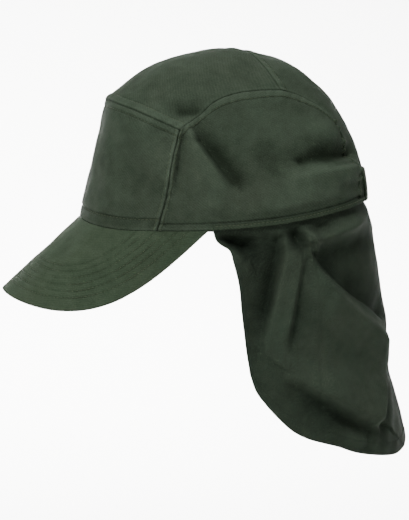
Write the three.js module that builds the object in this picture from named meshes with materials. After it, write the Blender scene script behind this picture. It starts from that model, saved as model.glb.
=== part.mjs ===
// A legionnaire cap: a cloth crown in five panels, a stiff curved peak and a neck flap.
// Millimetres, +Z up. The peak points along -Y and the wearer's left is +X.
// The origin is the centre of the head opening, at the height of the rim above the ears.

import * as THREE from 'three';

// Crown, measured over the outside
const crownLength = 205.5;
const crownWidth = 163;
const crownHeight = 124; // from the rim above the ears to the top
const crownSquareness = 2.35; // 2 rounds the crown off as an ellipse, more makes its sides fuller
const crownCentreShare = -0.363; // height of the point that its surface is drawn about, of the crown's
const frontSeamTurn = 59.2; // degrees round the rim from the front, where the front panel ends
const backSeamTurn = 153.6; // degrees round the rim from the front, where the back panel starts

// Cloth
const cloth = 1.2;
const frontCloth = 1.8; // the front panel is stiffened
const gap = 0.3; // clearance between pieces that are sewn together

// Peak
const peakLength = 75.2; // along the centre, from the rim to the tip
const peakSlope = 42.5; // degrees below the horizontal
const peakHalfGirth = 109.6; // round its curve, from the centre to where it ends at the rim
const peakReach = 132; // along its slope, from the tip back to the ends of its outer edge
const peakTipRoundness = 2.42;
const peakSideRoundness = 3.4;
const peakThickness = 2.4;
const peakEndWidth = 0.7; // how far its edge still stands out from the rim where it ends

// Neck flap
const flapDrop = 160.5; // from the rim above the ears down to the hem, at the back
const flapSpread = 133; // from the middle of the cap back to the hem
const flapWidth = 160; // across the hem at its widest
const flapCloth = 1.2;
const flapTuck = 5; // how far it reaches up inside the crown
const flapSewnDrop = 1; // how far below the rim it starts to hang free
const flapBehindPeak = 1.5; // degrees round the rim from the peak's end to its front edge
const flapFarSweep = 17.5; // how much further back the front edge hangs on the wearer's right
const flapSweptBy = 0.13; // share of the way down by which it has swept back in full
const flapSidesMeet = 0.82; // share of the way round where both sides' folds start to blend

// Rim trim
const bindingHeight = 4;
const bindingThickness = 1;
const bindingBehindPeak = 1.3; // degrees round the rim from the peak's end to its own
const bindingBeforeStrap = 0.6; // degrees round the rim between it and the strap
const sweatbandHeight = 28;
const sweatbandThickness = 1.2;
const sweatbandLean = 2.5; // how much further in its top edge stands than its sewn edge
const strapHeight = 22;
const strapThickness = 1.8;
const strapHalfTurn = 21.6; // degrees round the rim to each side of the back
const strapClearance = { start: 7, end: 2 }; // degrees before the strap's end where folds fade out

// How finely the faceted surfaces are cut
const acrossSteps = 14; // across the front, top and back panels
const frontSteps = 14; // up the front panel
const topSteps = 14; // from the front panel back to the cross seam
const shoulderSteps = 10; // from the cross seam down to the widest part of the back seam
const flapSteps = { around: 22, down: 16 };
const peakSteps = { around: 44, out: 5 };
const bindingSteps = 24;
const strapSteps = { around: 12, up: 3 };
const sweatbandSteps = { around: 56, up: 2 };
const linePoints = 60; // points of a rim line before it is spaced evenly

// The cap's profile in the middle plane, as shares of half the length and of the height
const profileRows = [
  { along: -1.002, up: 0.035 },
  { along: -0.957, up: 0.2 },
  { along: -0.911, up: 0.37 },
  { along: -0.863, up: 0.54 },
  { along: -0.826, up: 0.67 },
  { along: -0.814, up: 0.712 },
  { along: -0.769, up: 0.75 },
  { along: -0.665, up: 0.816 },
  { along: -0.525, up: 0.891 },
  { along: -0.372, up: 0.943 },
  { along: -0.191, up: 0.983 },
  { along: 0.031, up: 1.0 },
  { along: 0.226, up: 0.975 },
  { along: 0.435, up: 0.921 },
  { along: 0.59, up: 0.836 },
  { along: 0.727, up: 0.727 },
  { along: 0.845, up: 0.565 },
  { along: 0.929, up: 0.404 },
  { along: 0.967, up: 0.265 },
  { along: 0.981, up: 0.127 },
];

// The rim's height round the head, in degrees from the front and shares of the crown's height
const rimRows = [
  { turn: -28, up: 0.011 },
  { turn: 0, up: 0.04 },
  { turn: 28, up: 0.011 },
  { turn: 45, up: -0.005 },
  { turn: 60, up: -0.005 },
  { turn: 75, up: -0.0025 },
  { turn: 90, up: 0.006 },
  { turn: 105, up: 0.025 },
  { turn: 120, up: 0.055 },
  { turn: 135, up: 0.091 },
  { turn: 150, up: 0.121 },
  { turn: 165, up: 0.135 },
  { turn: 180, up: 0.139 },
  { turn: 195, up: 0.135 },
];

// Seams on the wearer's left, as shares of half the width, half the length and the height
const frontSideSeam = [
  { across: 0.894, along: -0.493, up: 0.102 },
  { across: 0.887, along: -0.452, up: 0.223 },
  { across: 0.849, along: -0.422, up: 0.36 },
  { across: 0.792, along: -0.378, up: 0.503 },
];
const frontCorner = { across: 0.771, along: -0.362, up: 0.547 };
const frontTopSeam = [
  { across: 0, along: -0.825, up: 0.704 },
  { across: 0.341, along: -0.767, up: 0.694 },
  { across: 0.541, along: -0.65, up: 0.659 },
  { across: 0.668, along: -0.524, up: 0.611 },
];
const topSideSeam = [
  { across: 0.724, along: -0.204, up: 0.657 },
  { across: 0.693, along: -0.127, up: 0.706 },
  { across: 0.667, along: -0.016, up: 0.744 },
  { across: 0.637, along: 0.123, up: 0.767 },
];
const crossCorner = { across: 0.579, along: 0.338, up: 0.77 };
const crossSeam = [
  { across: 0, along: 0.137, up: 0.998 },
  { across: 0.19, along: 0.166, up: 0.976 },
  { across: 0.368, along: 0.225, up: 0.915 },
  { across: 0.5, along: 0.29, up: 0.84 },
];
const shoulderSeam = [
  { across: 0.546, along: 0.464, up: 0.737 },
  { across: 0.498, along: 0.617, up: 0.667 },
];
const backShoulder = { across: 0.469, along: 0.714, up: 0.583 };
const backSideSeam = [
  { across: 0.454, along: 0.797, up: 0.483 },
  { across: 0.453, along: 0.866, up: 0.368 },
  { across: 0.456, along: 0.909, up: 0.248 },
];

// Folds of the crown. Each runs through three places given as shares of half the length and of the
// height, seen from the side. The widths to the left and right of its run and its rise are shares of
// the crown's height, and a lower power makes a sharper crest.
const crownFolds = [
  { name: 'roll beside the front seam', from: [-0.378, 0.503], via: [-0.416, 0.361], to: [-0.452, 0.223],
    left: 0.036, right: 0.03, rise: 0.02, power: 2 },
  { name: 'pinch behind it', from: [-0.336, 0.443], via: [-0.334, 0.333], to: [-0.333, 0.224],
    left: 0.036, right: 0.03, rise: -0.02, power: 1.6 },
  { name: 'ridge from the temple', from: [-0.29, 0.541], via: [-0.183, 0.388], to: [-0.066, 0.234],
    left: 0.045, right: 0.075, rise: 0.03, power: 1.6 },
  { name: 'hollow behind the ridge', from: [-0.205, 0.509], via: [-0.088, 0.399], to: [0.049, 0.278],
    left: 0.12, right: 0.05, rise: -0.044, power: 1.6 },
  { name: 'puff above the rim', from: [-0.209, 0.13], via: [-0.149, 0.136], to: [-0.082, 0.114],
    left: 0.07, right: 0.05, rise: 0.018, power: 2 },
  { name: 'roll over the binding', from: [0.174, 0.101], via: [0.437, 0.147], to: [0.81, 0.206],
    left: 0.13, right: 0.045, rise: 0.024, power: 2 },
  { name: 'rear ridge', from: [0.406, 0.274], via: [0.659, 0.29], to: [0.871, 0.313],
    left: 0.06, right: 0.06, rise: 0.028, power: 1.7 },
  { name: 'rear hollow', from: [0.444, 0.356], via: [0.663, 0.367], to: [0.843, 0.381],
    left: 0.08, right: 0.04, rise: -0.034, power: 1.6 },
  { name: 'upper rear swell', from: [0.456, 0.559], via: [0.638, 0.533], to: [0.778, 0.484],
    left: 0.08, right: 0.08, rise: 0.018, power: 2 },
  { name: 'pit above the front corner', from: [-0.409, 0.661], via: [-0.315, 0.678], to: [-0.221, 0.695],
    left: 0.05, right: 0.035, rise: -0.028, power: 2 },
  { name: 'roll above the front seam', from: [-0.552, 0.671], via: [-0.424, 0.623], to: [-0.321, 0.585],
    left: 0.04, right: 0.04, rise: 0.014, power: 2 },
];

// The flap's front edge and hem on the wearer's left, from the rim down and on to the back, and the
// line down the middle of its back. Shares of half the hem's width, of the spread and of the drop.
const flapFrontEdge = [
  { across: 0.99, along: -0.102, down: 0.048 },
  { across: 0.988, along: -0.038, down: 0.084 },
  { across: 0.981, along: -0.017, down: 0.133 },
  { across: 0.975, along: 0.016, down: 0.242 },
  { across: 0.975, along: 0.03, down: 0.349 },
  { across: 0.963, along: 0.059, down: 0.543 },
];
const flapCorner = { across: 0.956, along: 0.074, down: 0.622 };
const flapHem = [
  { across: 0.95, along: 0.107, down: 0.7 },
  { across: 0.963, along: 0.157, down: 0.757 },
  { across: 0.988, along: 0.244, down: 0.835 },
  { across: 1, along: 0.306, down: 0.878 },
  { across: 1, along: 0.383, down: 0.909 },
  { across: 0.956, along: 0.539, down: 0.946 },
  { across: 0.875, along: 0.642, down: 0.978 },
  { across: 0.725, along: 0.767, down: 1.003 },
  { across: 0.5, along: 0.882, down: 1.018 },
  { across: 0.275, along: 0.951, down: 1.012 },
];
const flapHemBack = { across: 0, along: 0.996, down: 0.988 };
const flapBackLine = [
  { across: 0, along: 0.776, down: -0.06 },
  { across: 0, along: 0.798, down: 0.002 },
  { across: 0, along: 0.825, down: 0.135 },
  { across: 0, along: 0.853, down: 0.27 },
  { across: 0, along: 0.881, down: 0.402 },
  { across: 0, along: 0.888, down: 0.511 },
  { across: 0, along: 0.9, down: 0.648 },
  { across: 0, along: 0.938, down: 0.76 },
  { across: 0, along: 0.974, down: 0.878 },
];

// Folds of the flap, on each side: places are shares of the way round, from the front edge to the
// middle of the back, and of the way down. Widths and rise are shares of the flap's drop.
const flapFolds = [
  { name: 'turned front edge', from: [0, 0.03], via: [0.005, 0.165], to: [0.075, 0.235],
    left: 0.028, right: 0.05, rise: 0.03, power: 1.8 },
  { name: 'pocket under the rim', from: [0.058, 0.05], via: [0.09, 0.11], to: [0.125, 0.162],
    left: 0.05, right: 0.035, rise: -0.055, power: 2 },
  { name: 'puff under the rim', from: [0.235, 0.02], via: [0.255, 0.035], to: [0.265, 0.07],
    left: 0.04, right: 0.04, rise: 0.02, power: 2 },
  { name: 'long front crease', from: [0.278, 0.05], via: [0.178, 0.37], to: [0.108, 0.7],
    left: 0.06, right: 0.045, rise: -0.03, power: 1.6 },
  { name: 'notch under the rim', from: [0.342, 0.045], via: [0.348, 0.088], to: [0.345, 0.145],
    left: 0.045, right: 0.04, rise: -0.032, power: 2 },
  { name: 'pleat beside the notch', from: [0.368, 0.03], via: [0.385, 0.072], to: [0.392, 0.128],
    left: 0.04, right: 0.035, rise: 0.032, power: 1.8 },
  { name: 'second crease', from: [0.368, 0.16], via: [0.31, 0.405], to: [0.292, 0.515],
    left: 0.04, right: 0.06, rise: 0.022, power: 1.6 },
  { name: 'rear swag', from: [0.398, 0.118], via: [0.548, 0.07], to: [0.8, 0.03],
    left: 0.055, right: 0.05, rise: 0.036, power: 1.7 },
  { name: 'hollow below the swag', from: [0.43, 0.19], via: [0.6, 0.16], to: [0.86, 0.13],
    left: 0.05, right: 0.08, rise: -0.03, power: 2 },
  { name: 'dent above the swag', from: [0.432, 0.03], via: [0.482, 0.03], to: [0.54, 0.03],
    left: 0.035, right: 0.035, rise: -0.018, power: 2 },
  { name: 'fold line of the sash', from: [0.4, 0.145], via: [0.488, 0.292], to: [0.825, 0.462],
    left: 0.09, right: 0.045, rise: -0.032, power: 1.6 },
  { name: 'sash', from: [0.37, 0.2], via: [0.455, 0.345], to: [0.79, 0.5],
    left: 0.045, right: 0.09, rise: 0.036, power: 1.8 },
  { name: 'low ridge', from: [0.285, 0.712], via: [0.445, 0.765], to: [0.655, 0.84],
    left: 0.15, right: 0.06, rise: 0.038, power: 1.7 },
  { name: 'hollow under the low ridge', from: [0.298, 0.79], via: [0.428, 0.86], to: [0.6, 0.885],
    left: 0.055, right: 0.06, rise: -0.034, power: 2 },
  { name: 'rear fold', from: [0.785, 0.655], via: [0.732, 0.73], to: [0.66, 0.835],
    left: 0.045, right: 0.08, rise: 0.022, power: 1.7 },
  { name: 'swell above the hem', from: [0.505, 0.93], via: [0.565, 0.94], to: [0.635, 0.96],
    left: 0.05, right: 0.04, rise: 0.02, power: 2 },
];
const farSideFolds = 0.6; // the wearer's right has the same folds, this much as deep

// Colours and finishes
const finish = (color, roughness) => new THREE.MeshStandardMaterial({ color, roughness, metalness: 0 });
const crownFinish = () => finish(0x36452f, 0.82);
const peakFinish = () => finish(0x3a4a34, 0.8);
const flapFinish = () => finish(0x29362a, 0.82);
const trimFinish = () => finish(0x2f3c2b, 0.85);

// Small helpers
const vector = (x, y, z) => new THREE.Vector3(x, y, z);
const radians = THREE.MathUtils.degToRad;
const easeIn = (value, start, end) => THREE.MathUtils.smoothstep(value, start, end);
const range = (count) => Array.from({ length: count }, (_, i) => i);

// A smooth curve through table rows. Its slope at a row is that of the line between the neighbours.
function curveThrough(keys, values) {
  const last = keys.length - 1;
  const slopes = keys.map((_, i) => {
    const before = Math.max(i - 1, 0);
    const after = Math.min(i + 1, last);
    return (values[after] - values[before]) / (keys[after] - keys[before]);
  });
  return (key) => {
    if (key <= keys[0]) return values[0] + slopes[0] * (key - keys[0]);
    if (key >= keys[last]) return values[last] + slopes[last] * (key - keys[last]);
    const i = keys.findIndex((next) => next > key) - 1;
    const span = keys[i + 1] - keys[i];
    const t = (key - keys[i]) / span;
    const tt = t * t;
    const ttt = tt * t;
    return (2 * ttt - 3 * tt + 1) * values[i] + (3 * tt - 2 * ttt) * values[i + 1]
      + ((ttt - 2 * tt + t) * slopes[i] + (ttt - tt) * slopes[i + 1]) * span;
  };
}

// The crown's outer surface. Its profile in the middle plane is a distance from a low centre at each
// angle, and each cross-section through that centre closes to the sides as a superellipse.
const halfLength = crownLength / 2;
const halfWidth = crownWidth / 2;
const crownCentre = vector(0, 0, crownCentreShare * crownHeight);
const profilePoints = profileRows.map((row) => (
  vector(0, row.along * halfLength, row.up * crownHeight).sub(crownCentre)));
const profileRadius = curveThrough(
  profilePoints.map((p) => Math.atan2(p.z, -p.y)),
  profilePoints.map((p) => Math.hypot(p.y, p.z)),
);

// 1 on the surface, less inside, more outside, and in proportion along each ray from the centre
function crownFullness(point) {
  const p = point.clone().sub(crownCentre);
  const inPlane = Math.hypot(p.y, p.z) / profileRadius(Math.atan2(p.z, -p.y));
  const sideways = Math.abs(p.x) / halfWidth;
  return (inPlane ** crownSquareness + sideways ** crownSquareness) ** (1 / crownSquareness);
}

// The point of the surface on the ray from the centre through a point
const onCrown = (point) => (
  point.clone().sub(crownCentre).divideScalar(crownFullness(point)).add(crownCentre));

// The surface's outward direction at a point
function outwardAt(point) {
  const step = 0.05;
  const slope = (axis) => crownFullness(point.clone().addScaledVector(axis, step))
    - crownFullness(point.clone().addScaledVector(axis, -step));
  return vector(slope(vector(1, 0, 0)), slope(vector(0, 1, 0)), slope(vector(0, 0, 1))).normalize();
}

// The point of the surface at a given turn round the head and height
function crownAt(turn, height) {
  const p = vector(halfWidth * Math.sin(radians(turn)), -halfLength * Math.cos(radians(turn)), height);
  for (let pass = 0; pass < 14; pass += 1) {
    const fullness = crownFullness(p);
    p.set(p.x / fullness, p.y / fullness, height);
  }
  return p;
}

const rimShare = curveThrough(rimRows.map((row) => row.turn), rimRows.map((row) => row.up));
const rimHeight = (turn) => crownHeight * rimShare(turn > 180 ? 360 - turn : Math.abs(turn));

// A point by the rim: so far above it, and so far inside the crown's outer surface
function byRim(turn, above = 0, inside = 0) {
  const p = crownAt(turn, rimHeight(turn) + above);
  return p.addScaledVector(outwardAt(p), -inside);
}

const crownPlace = (row) => (
  onCrown(vector(row.across * halfWidth, row.along * halfLength, row.up * crownHeight)));

// Evenly spaced points on a smooth line through some points
const smoothLine = (points) => new THREE.CatmullRomCurve3(points, false, 'centripetal');
const spaced = (points, steps) => smoothLine(points).getSpacedPoints(steps);
const seam = (points, steps) => spaced(points, steps).map(onCrown);
const mirrored = (points) => points.map((p) => vector(-p.x, p.y, p.z));

// A line that crosses the middle plane: the left half of it mirrored, from the right to the left
const acrossMiddle = (leftHalf) => [...mirrored(leftHalf.slice(1)).reverse(), ...leftHalf];

// The turn round the head of each point
const turnOf = (p) => THREE.MathUtils.radToDeg(Math.atan2(p.x / halfWidth, -p.y / halfLength));

// A grid of points that fills the space between four border lines: rows run from the bottom line to
// the top line, columns from the left line to the right line
function gridBetween(bottom, top, left, right) {
  const columns = bottom.length - 1;
  const rows = left.length - 1;
  return range(rows + 1).map((j) => range(columns + 1).map((i) => {
    const u = i / columns;
    const v = j / rows;
    const between = vector(0, 0, 0);
    const mix = (point, share) => between.addScaledVector(point, share);
    mix(bottom[i], 1 - v);
    mix(top[i], v);
    mix(left[j], 1 - u);
    mix(right[j], u);
    mix(bottom[0], -(1 - u) * (1 - v));
    mix(bottom[columns], -u * (1 - v));
    mix(top[0], -(1 - u) * v);
    mix(top[columns], -u * v);
    return between;
  }));
}

// Draws the borders of a grid in by a distance, square to each border
function drawnIn(grid, distance) {
  const rows = grid.length - 1;
  const columns = grid[0].length - 1;
  const shifted = grid.map((row) => row.map((p) => p.clone()));
  const draw = (j, i, inJ, inI, alongJ, alongI) => {
    const clampJ = (value) => THREE.MathUtils.clamp(value, 0, rows);
    const clampI = (value) => THREE.MathUtils.clamp(value, 0, columns);
    const next = grid[clampJ(j + alongJ)][clampI(i + alongI)];
    const previous = grid[clampJ(j - alongJ)][clampI(i - alongI)];
    const along = next.clone().sub(previous).normalize();
    const inward = grid[j + inJ][i + inI].clone().sub(grid[j][i]);
    inward.addScaledVector(along, -inward.dot(along)).normalize();
    shifted[j][i].addScaledVector(inward, distance);
  };
  for (const i of range(columns + 1)) {
    draw(0, i, 1, 0, 0, 1);
    draw(rows, i, -1, 0, 0, 1);
  }
  for (const j of range(rows + 1)) {
    draw(j, 0, 0, 1, 1, 0);
    draw(j, columns, 0, -1, 1, 0);
  }
  return shifted;
}

// How far a point lies out along the folds: each fold's rise fades with the distance from its line
function foldRise(folds, point, outward, size) {
  return folds.reduce((sum, fold) => {
    let nearest = Infinity;
    let width = fold.left;
    for (const i of range(fold.line.length - 1)) {
      const start = fold.line[i];
      const run = fold.line[i + 1].clone().sub(start);
      const offset = point.clone().sub(start);
      const share = THREE.MathUtils.clamp(offset.dot(run) / run.lengthSq(), 0, 1);
      offset.addScaledVector(run, -share);
      const distance = offset.length();
      if (distance < nearest) {
        nearest = distance;
        width = run.cross(offset).dot(outward) > 0 ? fold.left : fold.right;
      }
    }
    return sum + size * fold.rise * Math.exp(-((nearest / (size * width)) ** fold.power));
  }, 0);
}

// A fold's line on a surface, for a table row and a function from its two shares to a point
function foldLine(row, place) {
  const [from, via, to] = [row.from, row.via, row.to].map((shares) => vector(...shares, 0));
  const pull = via.clone().multiplyScalar(2).sub(from.clone().lerp(to, 0.5));
  const sweep = new THREE.QuadraticBezierCurve3(from, pull, to);
  return { ...row, line: sweep.getPoints(6).map((share) => place(share.x, share.y)) };
}

// A closed mesh between an outer and an inner grid of points, with walls along the borders. On a ring
// the last column meets the first.
function wallBetween(outer, inner, ring = false) {
  const rows = outer.length - 1;
  const columns = ring ? outer[0].length : outer[0].length - 1;
  const perRow = outer[0].length;
  const points = [...outer.flat(), ...inner.flat()];
  const out = (j, i) => j * perRow + (i % perRow);
  const inn = (j, i) => outer.length * perRow + out(j, i);
  const faces = [];
  const quad = (a, b, c, d) => faces.push(a, b, c, a, c, d);
  for (const j of range(rows)) {
    for (const i of range(columns)) {
      quad(out(j, i), out(j, i + 1), out(j + 1, i + 1), out(j + 1, i));
      quad(inn(j, i), inn(j + 1, i), inn(j + 1, i + 1), inn(j, i + 1));
    }
    if (!ring) {
      quad(out(j, 0), out(j + 1, 0), inn(j + 1, 0), inn(j, 0));
      quad(out(j, columns), inn(j, columns), inn(j + 1, columns), out(j + 1, columns));
    }
  }
  for (const i of range(columns)) {
    quad(out(0, i), inn(0, i), inn(0, i + 1), out(0, i + 1));
    quad(out(rows, i), out(rows, i + 1), inn(rows, i + 1), inn(rows, i));
  }
  let volume = 0;
  for (let f = 0; f < faces.length; f += 3) {
    volume += points[faces[f]].dot(points[faces[f + 1]].clone().cross(points[faces[f + 2]]));
  }
  if (volume < 0) faces.reverse();
  const geometry = new THREE.BufferGeometry().setFromPoints(points);
  geometry.setIndex(faces);
  geometry.computeVertexNormals();
  return geometry;
}

const cap = new THREE.Group();
cap.name = 'legionnaire_cap';

function addPiece(name, geometry, material) {
  const mesh = new THREE.Mesh(geometry, material);
  mesh.name = name;
  cap.add(mesh);
}

// Crown panels
const sideOfCrown = (along, up) => {
  const y = along * halfLength;
  const z = up * crownHeight - crownCentre.z;
  const inPlane = Math.min(Math.hypot(y, z) / profileRadius(Math.atan2(z, -y)), 1);
  return vector(halfWidth * (1 - inPlane ** crownSquareness) ** (1 / crownSquareness), y, up * crownHeight);
};
const crownFoldLines = crownFolds.map((row) => foldLine(row, sideOfCrown));

// Folds start above the binding and fade out under the strap, so that both lie flat on the crown, and
// what folds in does so above the sweatband. The fold table holds for the left side and its mirror.
const onLeftSide = (p) => vector(Math.abs(p.x), p.y, p.z);

function foldedCrownPoint(point, outward) {
  const place = onLeftSide(point);
  const turn = turnOf(place);
  const above = point.z - rimHeight(turn);
  const aboveBinding = easeIn(above - bindingHeight - gap, 0, 2 * bindingHeight);
  const strapEnd = 180 - strapHalfTurn;
  const byStrap = easeIn(turn, strapEnd - strapClearance.start, strapEnd - strapClearance.end);
  const besideStrap = 1 - byStrap * (1 - easeIn(above, 1.2 * strapHeight, 1.7 * strapHeight));
  const depth = point.x > 0 ? 1 : farSideFolds;
  const rise = depth * foldRise(crownFoldLines, place, onLeftSide(outward), crownHeight);
  const clearOfBand = rise < 0 ? easeIn(above, 0.4 * sweatbandHeight, 1.25 * sweatbandHeight) : 1;
  return point.clone().addScaledVector(outward, rise * aboveBinding * clearOfBand * besideStrap);
}

function crownPanel(name, grid, thickness) {
  const base = drawnIn(grid.map((row) => row.map(onCrown)), gap / 2);
  const outward = base.map((row) => row.map(outwardAt));
  const outer = base.map((row, j) => row.map((p, i) => foldedCrownPoint(p, outward[j][i])));
  const inner = outer.map((row, j) => row.map((p, i) => (
    p.clone().addScaledVector(outward[j][i], -thickness))));
  addPiece(name, wallBetween(outer, inner), crownFinish());
}

const turnsFrom = (start, end, steps) => range(steps + 1).map((i) => start + (end - start) * (i / steps));
const rimBetween = (start, end, steps) => (
  spaced(turnsFrom(start, end, linePoints).map((turn) => byRim(turn)), steps));

const frontCornerPoint = crownPlace(frontCorner);
const crossCornerPoint = crownPlace(crossCorner);
const backShoulderPoint = crownPlace(backShoulder);
const seamThrough = (start, rows, end, steps) => (
  seam([...start, ...rows.map(crownPlace), ...end], steps));
const frontSideLine = seamThrough([byRim(frontSeamTurn)], frontSideSeam, [frontCornerPoint], frontSteps);
const frontTopLine = acrossMiddle(seamThrough([], frontTopSeam, [frontCornerPoint], acrossSteps / 2));
const topSideLine = seamThrough([frontCornerPoint], topSideSeam, [crossCornerPoint], topSteps);
const crossLine = acrossMiddle(seamThrough([], crossSeam, [crossCornerPoint], acrossSteps / 2));
const shoulderLine = seamThrough([crossCornerPoint], shoulderSeam, [backShoulderPoint], shoulderSteps);
const backSideLine = seamThrough([backShoulderPoint], backSideSeam, [byRim(backSeamTurn)], frontSteps);
const wholeBackLine = [...shoulderLine, ...backSideLine.slice(1)].reverse();

crownPanel(
  'front_panel',
  gridBetween(
    rimBetween(-frontSeamTurn, frontSeamTurn, acrossSteps),
    frontTopLine,
    mirrored(frontSideLine),
    frontSideLine,
  ),
  frontCloth,
);
crownPanel('top_panel', gridBetween(frontTopLine, crossLine, mirrored(topSideLine), topSideLine), cloth);
crownPanel(
  'back_panel',
  gridBetween(
    rimBetween(360 - backSeamTurn, backSeamTurn, acrossSteps),
    crossLine,
    mirrored(wholeBackLine),
    wholeBackLine,
  ),
  cloth,
);

const sideRim = rimBetween(frontSeamTurn, backSeamTurn, topSteps + shoulderSteps);
const sideTop = [...topSideLine, ...shoulderLine.slice(1)];
const sideBack = [...backSideLine].reverse();
crownPanel('side_panel_left', gridBetween(sideRim, sideTop, frontSideLine, sideBack), cloth);
crownPanel(
  'side_panel_right',
  gridBetween(mirrored(sideRim), mirrored(sideTop), mirrored(frontSideLine), mirrored(sideBack)),
  cloth,
);

// Peak: each point of the rim is carried down the slope to an outer edge that is a rounded outline on
// the unrolled sheet, so the peak bends only one way, as a stiff board does. Its girth is measured
// square to the slope, from the middle.
const downSlope = vector(0, -Math.cos(radians(peakSlope)), -Math.sin(radians(peakSlope)));
const peakRim = turnsFrom(0, 150, 10 * linePoints).map((turn) => byRim(turn, -gap / 2));
const peakGirths = [0];
for (const i of range(peakRim.length - 1)) {
  peakGirths.push(peakGirths[i] + peakRim[i + 1].clone().sub(peakRim[i]).cross(downSlope).length());
}

function rimAtGirth(girth) {
  const i = peakGirths.findIndex((next) => next > Math.abs(girth)) - 1;
  const share = (Math.abs(girth) - peakGirths[i]) / (peakGirths[i + 1] - peakGirths[i]);
  const p = peakRim[i].clone().lerp(peakRim[i + 1], share);
  return girth < 0 ? vector(-p.x, p.y, p.z) : p;
}

function peakGeometry() {
  const halfSteps = peakSteps.around / 2;
  const columns = range(peakSteps.around + 1).map((i) => {
    const girth = peakHalfGirth * Math.sin((Math.PI / 2) * (i / halfSteps - 1));
    const fall = Math.min(Math.abs(girth) / peakHalfGirth, 1) ** peakTipRoundness;
    const edge = peakLength - peakReach * (1 - (1 - fall) ** (1 / peakSideRoundness));
    const start = rimAtGirth(girth);
    const length = edge - start.clone().sub(peakRim[0]).dot(downSlope);
    const aside = rimAtGirth(girth + gap).sub(rimAtGirth(girth - gap));
    return {
      start,
      length: Math.max(length, peakEndWidth),
      up: downSlope.clone().cross(aside).normalize(),
    };
  });
  const top = range(peakSteps.out + 1).map((j) => columns.map((column) => (
    column.start.clone().addScaledVector(downSlope, column.length * (j / peakSteps.out)))));
  const under = top.map((row) => row.map((p, i) => (
    p.clone().addScaledVector(columns[i].up, -peakThickness))));
  return wallBetween(top, under);
}
addPiece('peak', peakGeometry(), peakFinish());

// Rim trim: bands that follow the rim at a distance inside or outside the crown's outer surface
function bandGeometry(turns, bottom, height, inside, thickness, rows, lean = 0, ring = false) {
  const face = (depth) => range(rows + 1).map((j) => (
    turns.map((turn) => byRim(turn, bottom + height * (j / rows), depth + lean * (j / rows)))));
  return wallBetween(face(inside), face(inside + thickness), ring);
}
const peakEndTurn = turnOf(rimAtGirth(peakHalfGirth));
const bindingTurns = turnsFrom(
  peakEndTurn + bindingBehindPeak,
  180 - strapHalfTurn - bindingBeforeStrap,
  bindingSteps,
);
const bindingInside = -gap - bindingThickness;
for (const [side, turns] of [['left', bindingTurns], ['right', bindingTurns.map((turn) => 360 - turn)]]) {
  addPiece(
    `rim_binding_${side}`,
    bandGeometry(turns, gap / 2, bindingHeight - gap, bindingInside, bindingThickness, 1),
    trimFinish(),
  );
}
addPiece(
  'adjuster_strap',
  bandGeometry(
    turnsFrom(180 - strapHalfTurn, 180 + strapHalfTurn, strapSteps.around),
    gap / 2,
    strapHeight,
    -gap - strapThickness,
    strapThickness,
    strapSteps.up,
  ),
  trimFinish(),
);
const sweatbandInside = Math.max(cloth + gap + flapCloth, frontCloth) + gap;
const ringTurns = turnsFrom(0, 360, sweatbandSteps.around).slice(0, -1);
addPiece(
  'sweatband',
  bandGeometry(
    ringTurns,
    gap,
    sweatbandHeight,
    sweatbandInside,
    sweatbandThickness,
    sweatbandSteps.up,
    sweatbandLean,
    true,
  ),
  trimFinish(),
);

// Neck flap
const flapPlace = (row) => vector(row.across * flapWidth / 2, row.along * flapSpread, -row.down * flapDrop);

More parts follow.
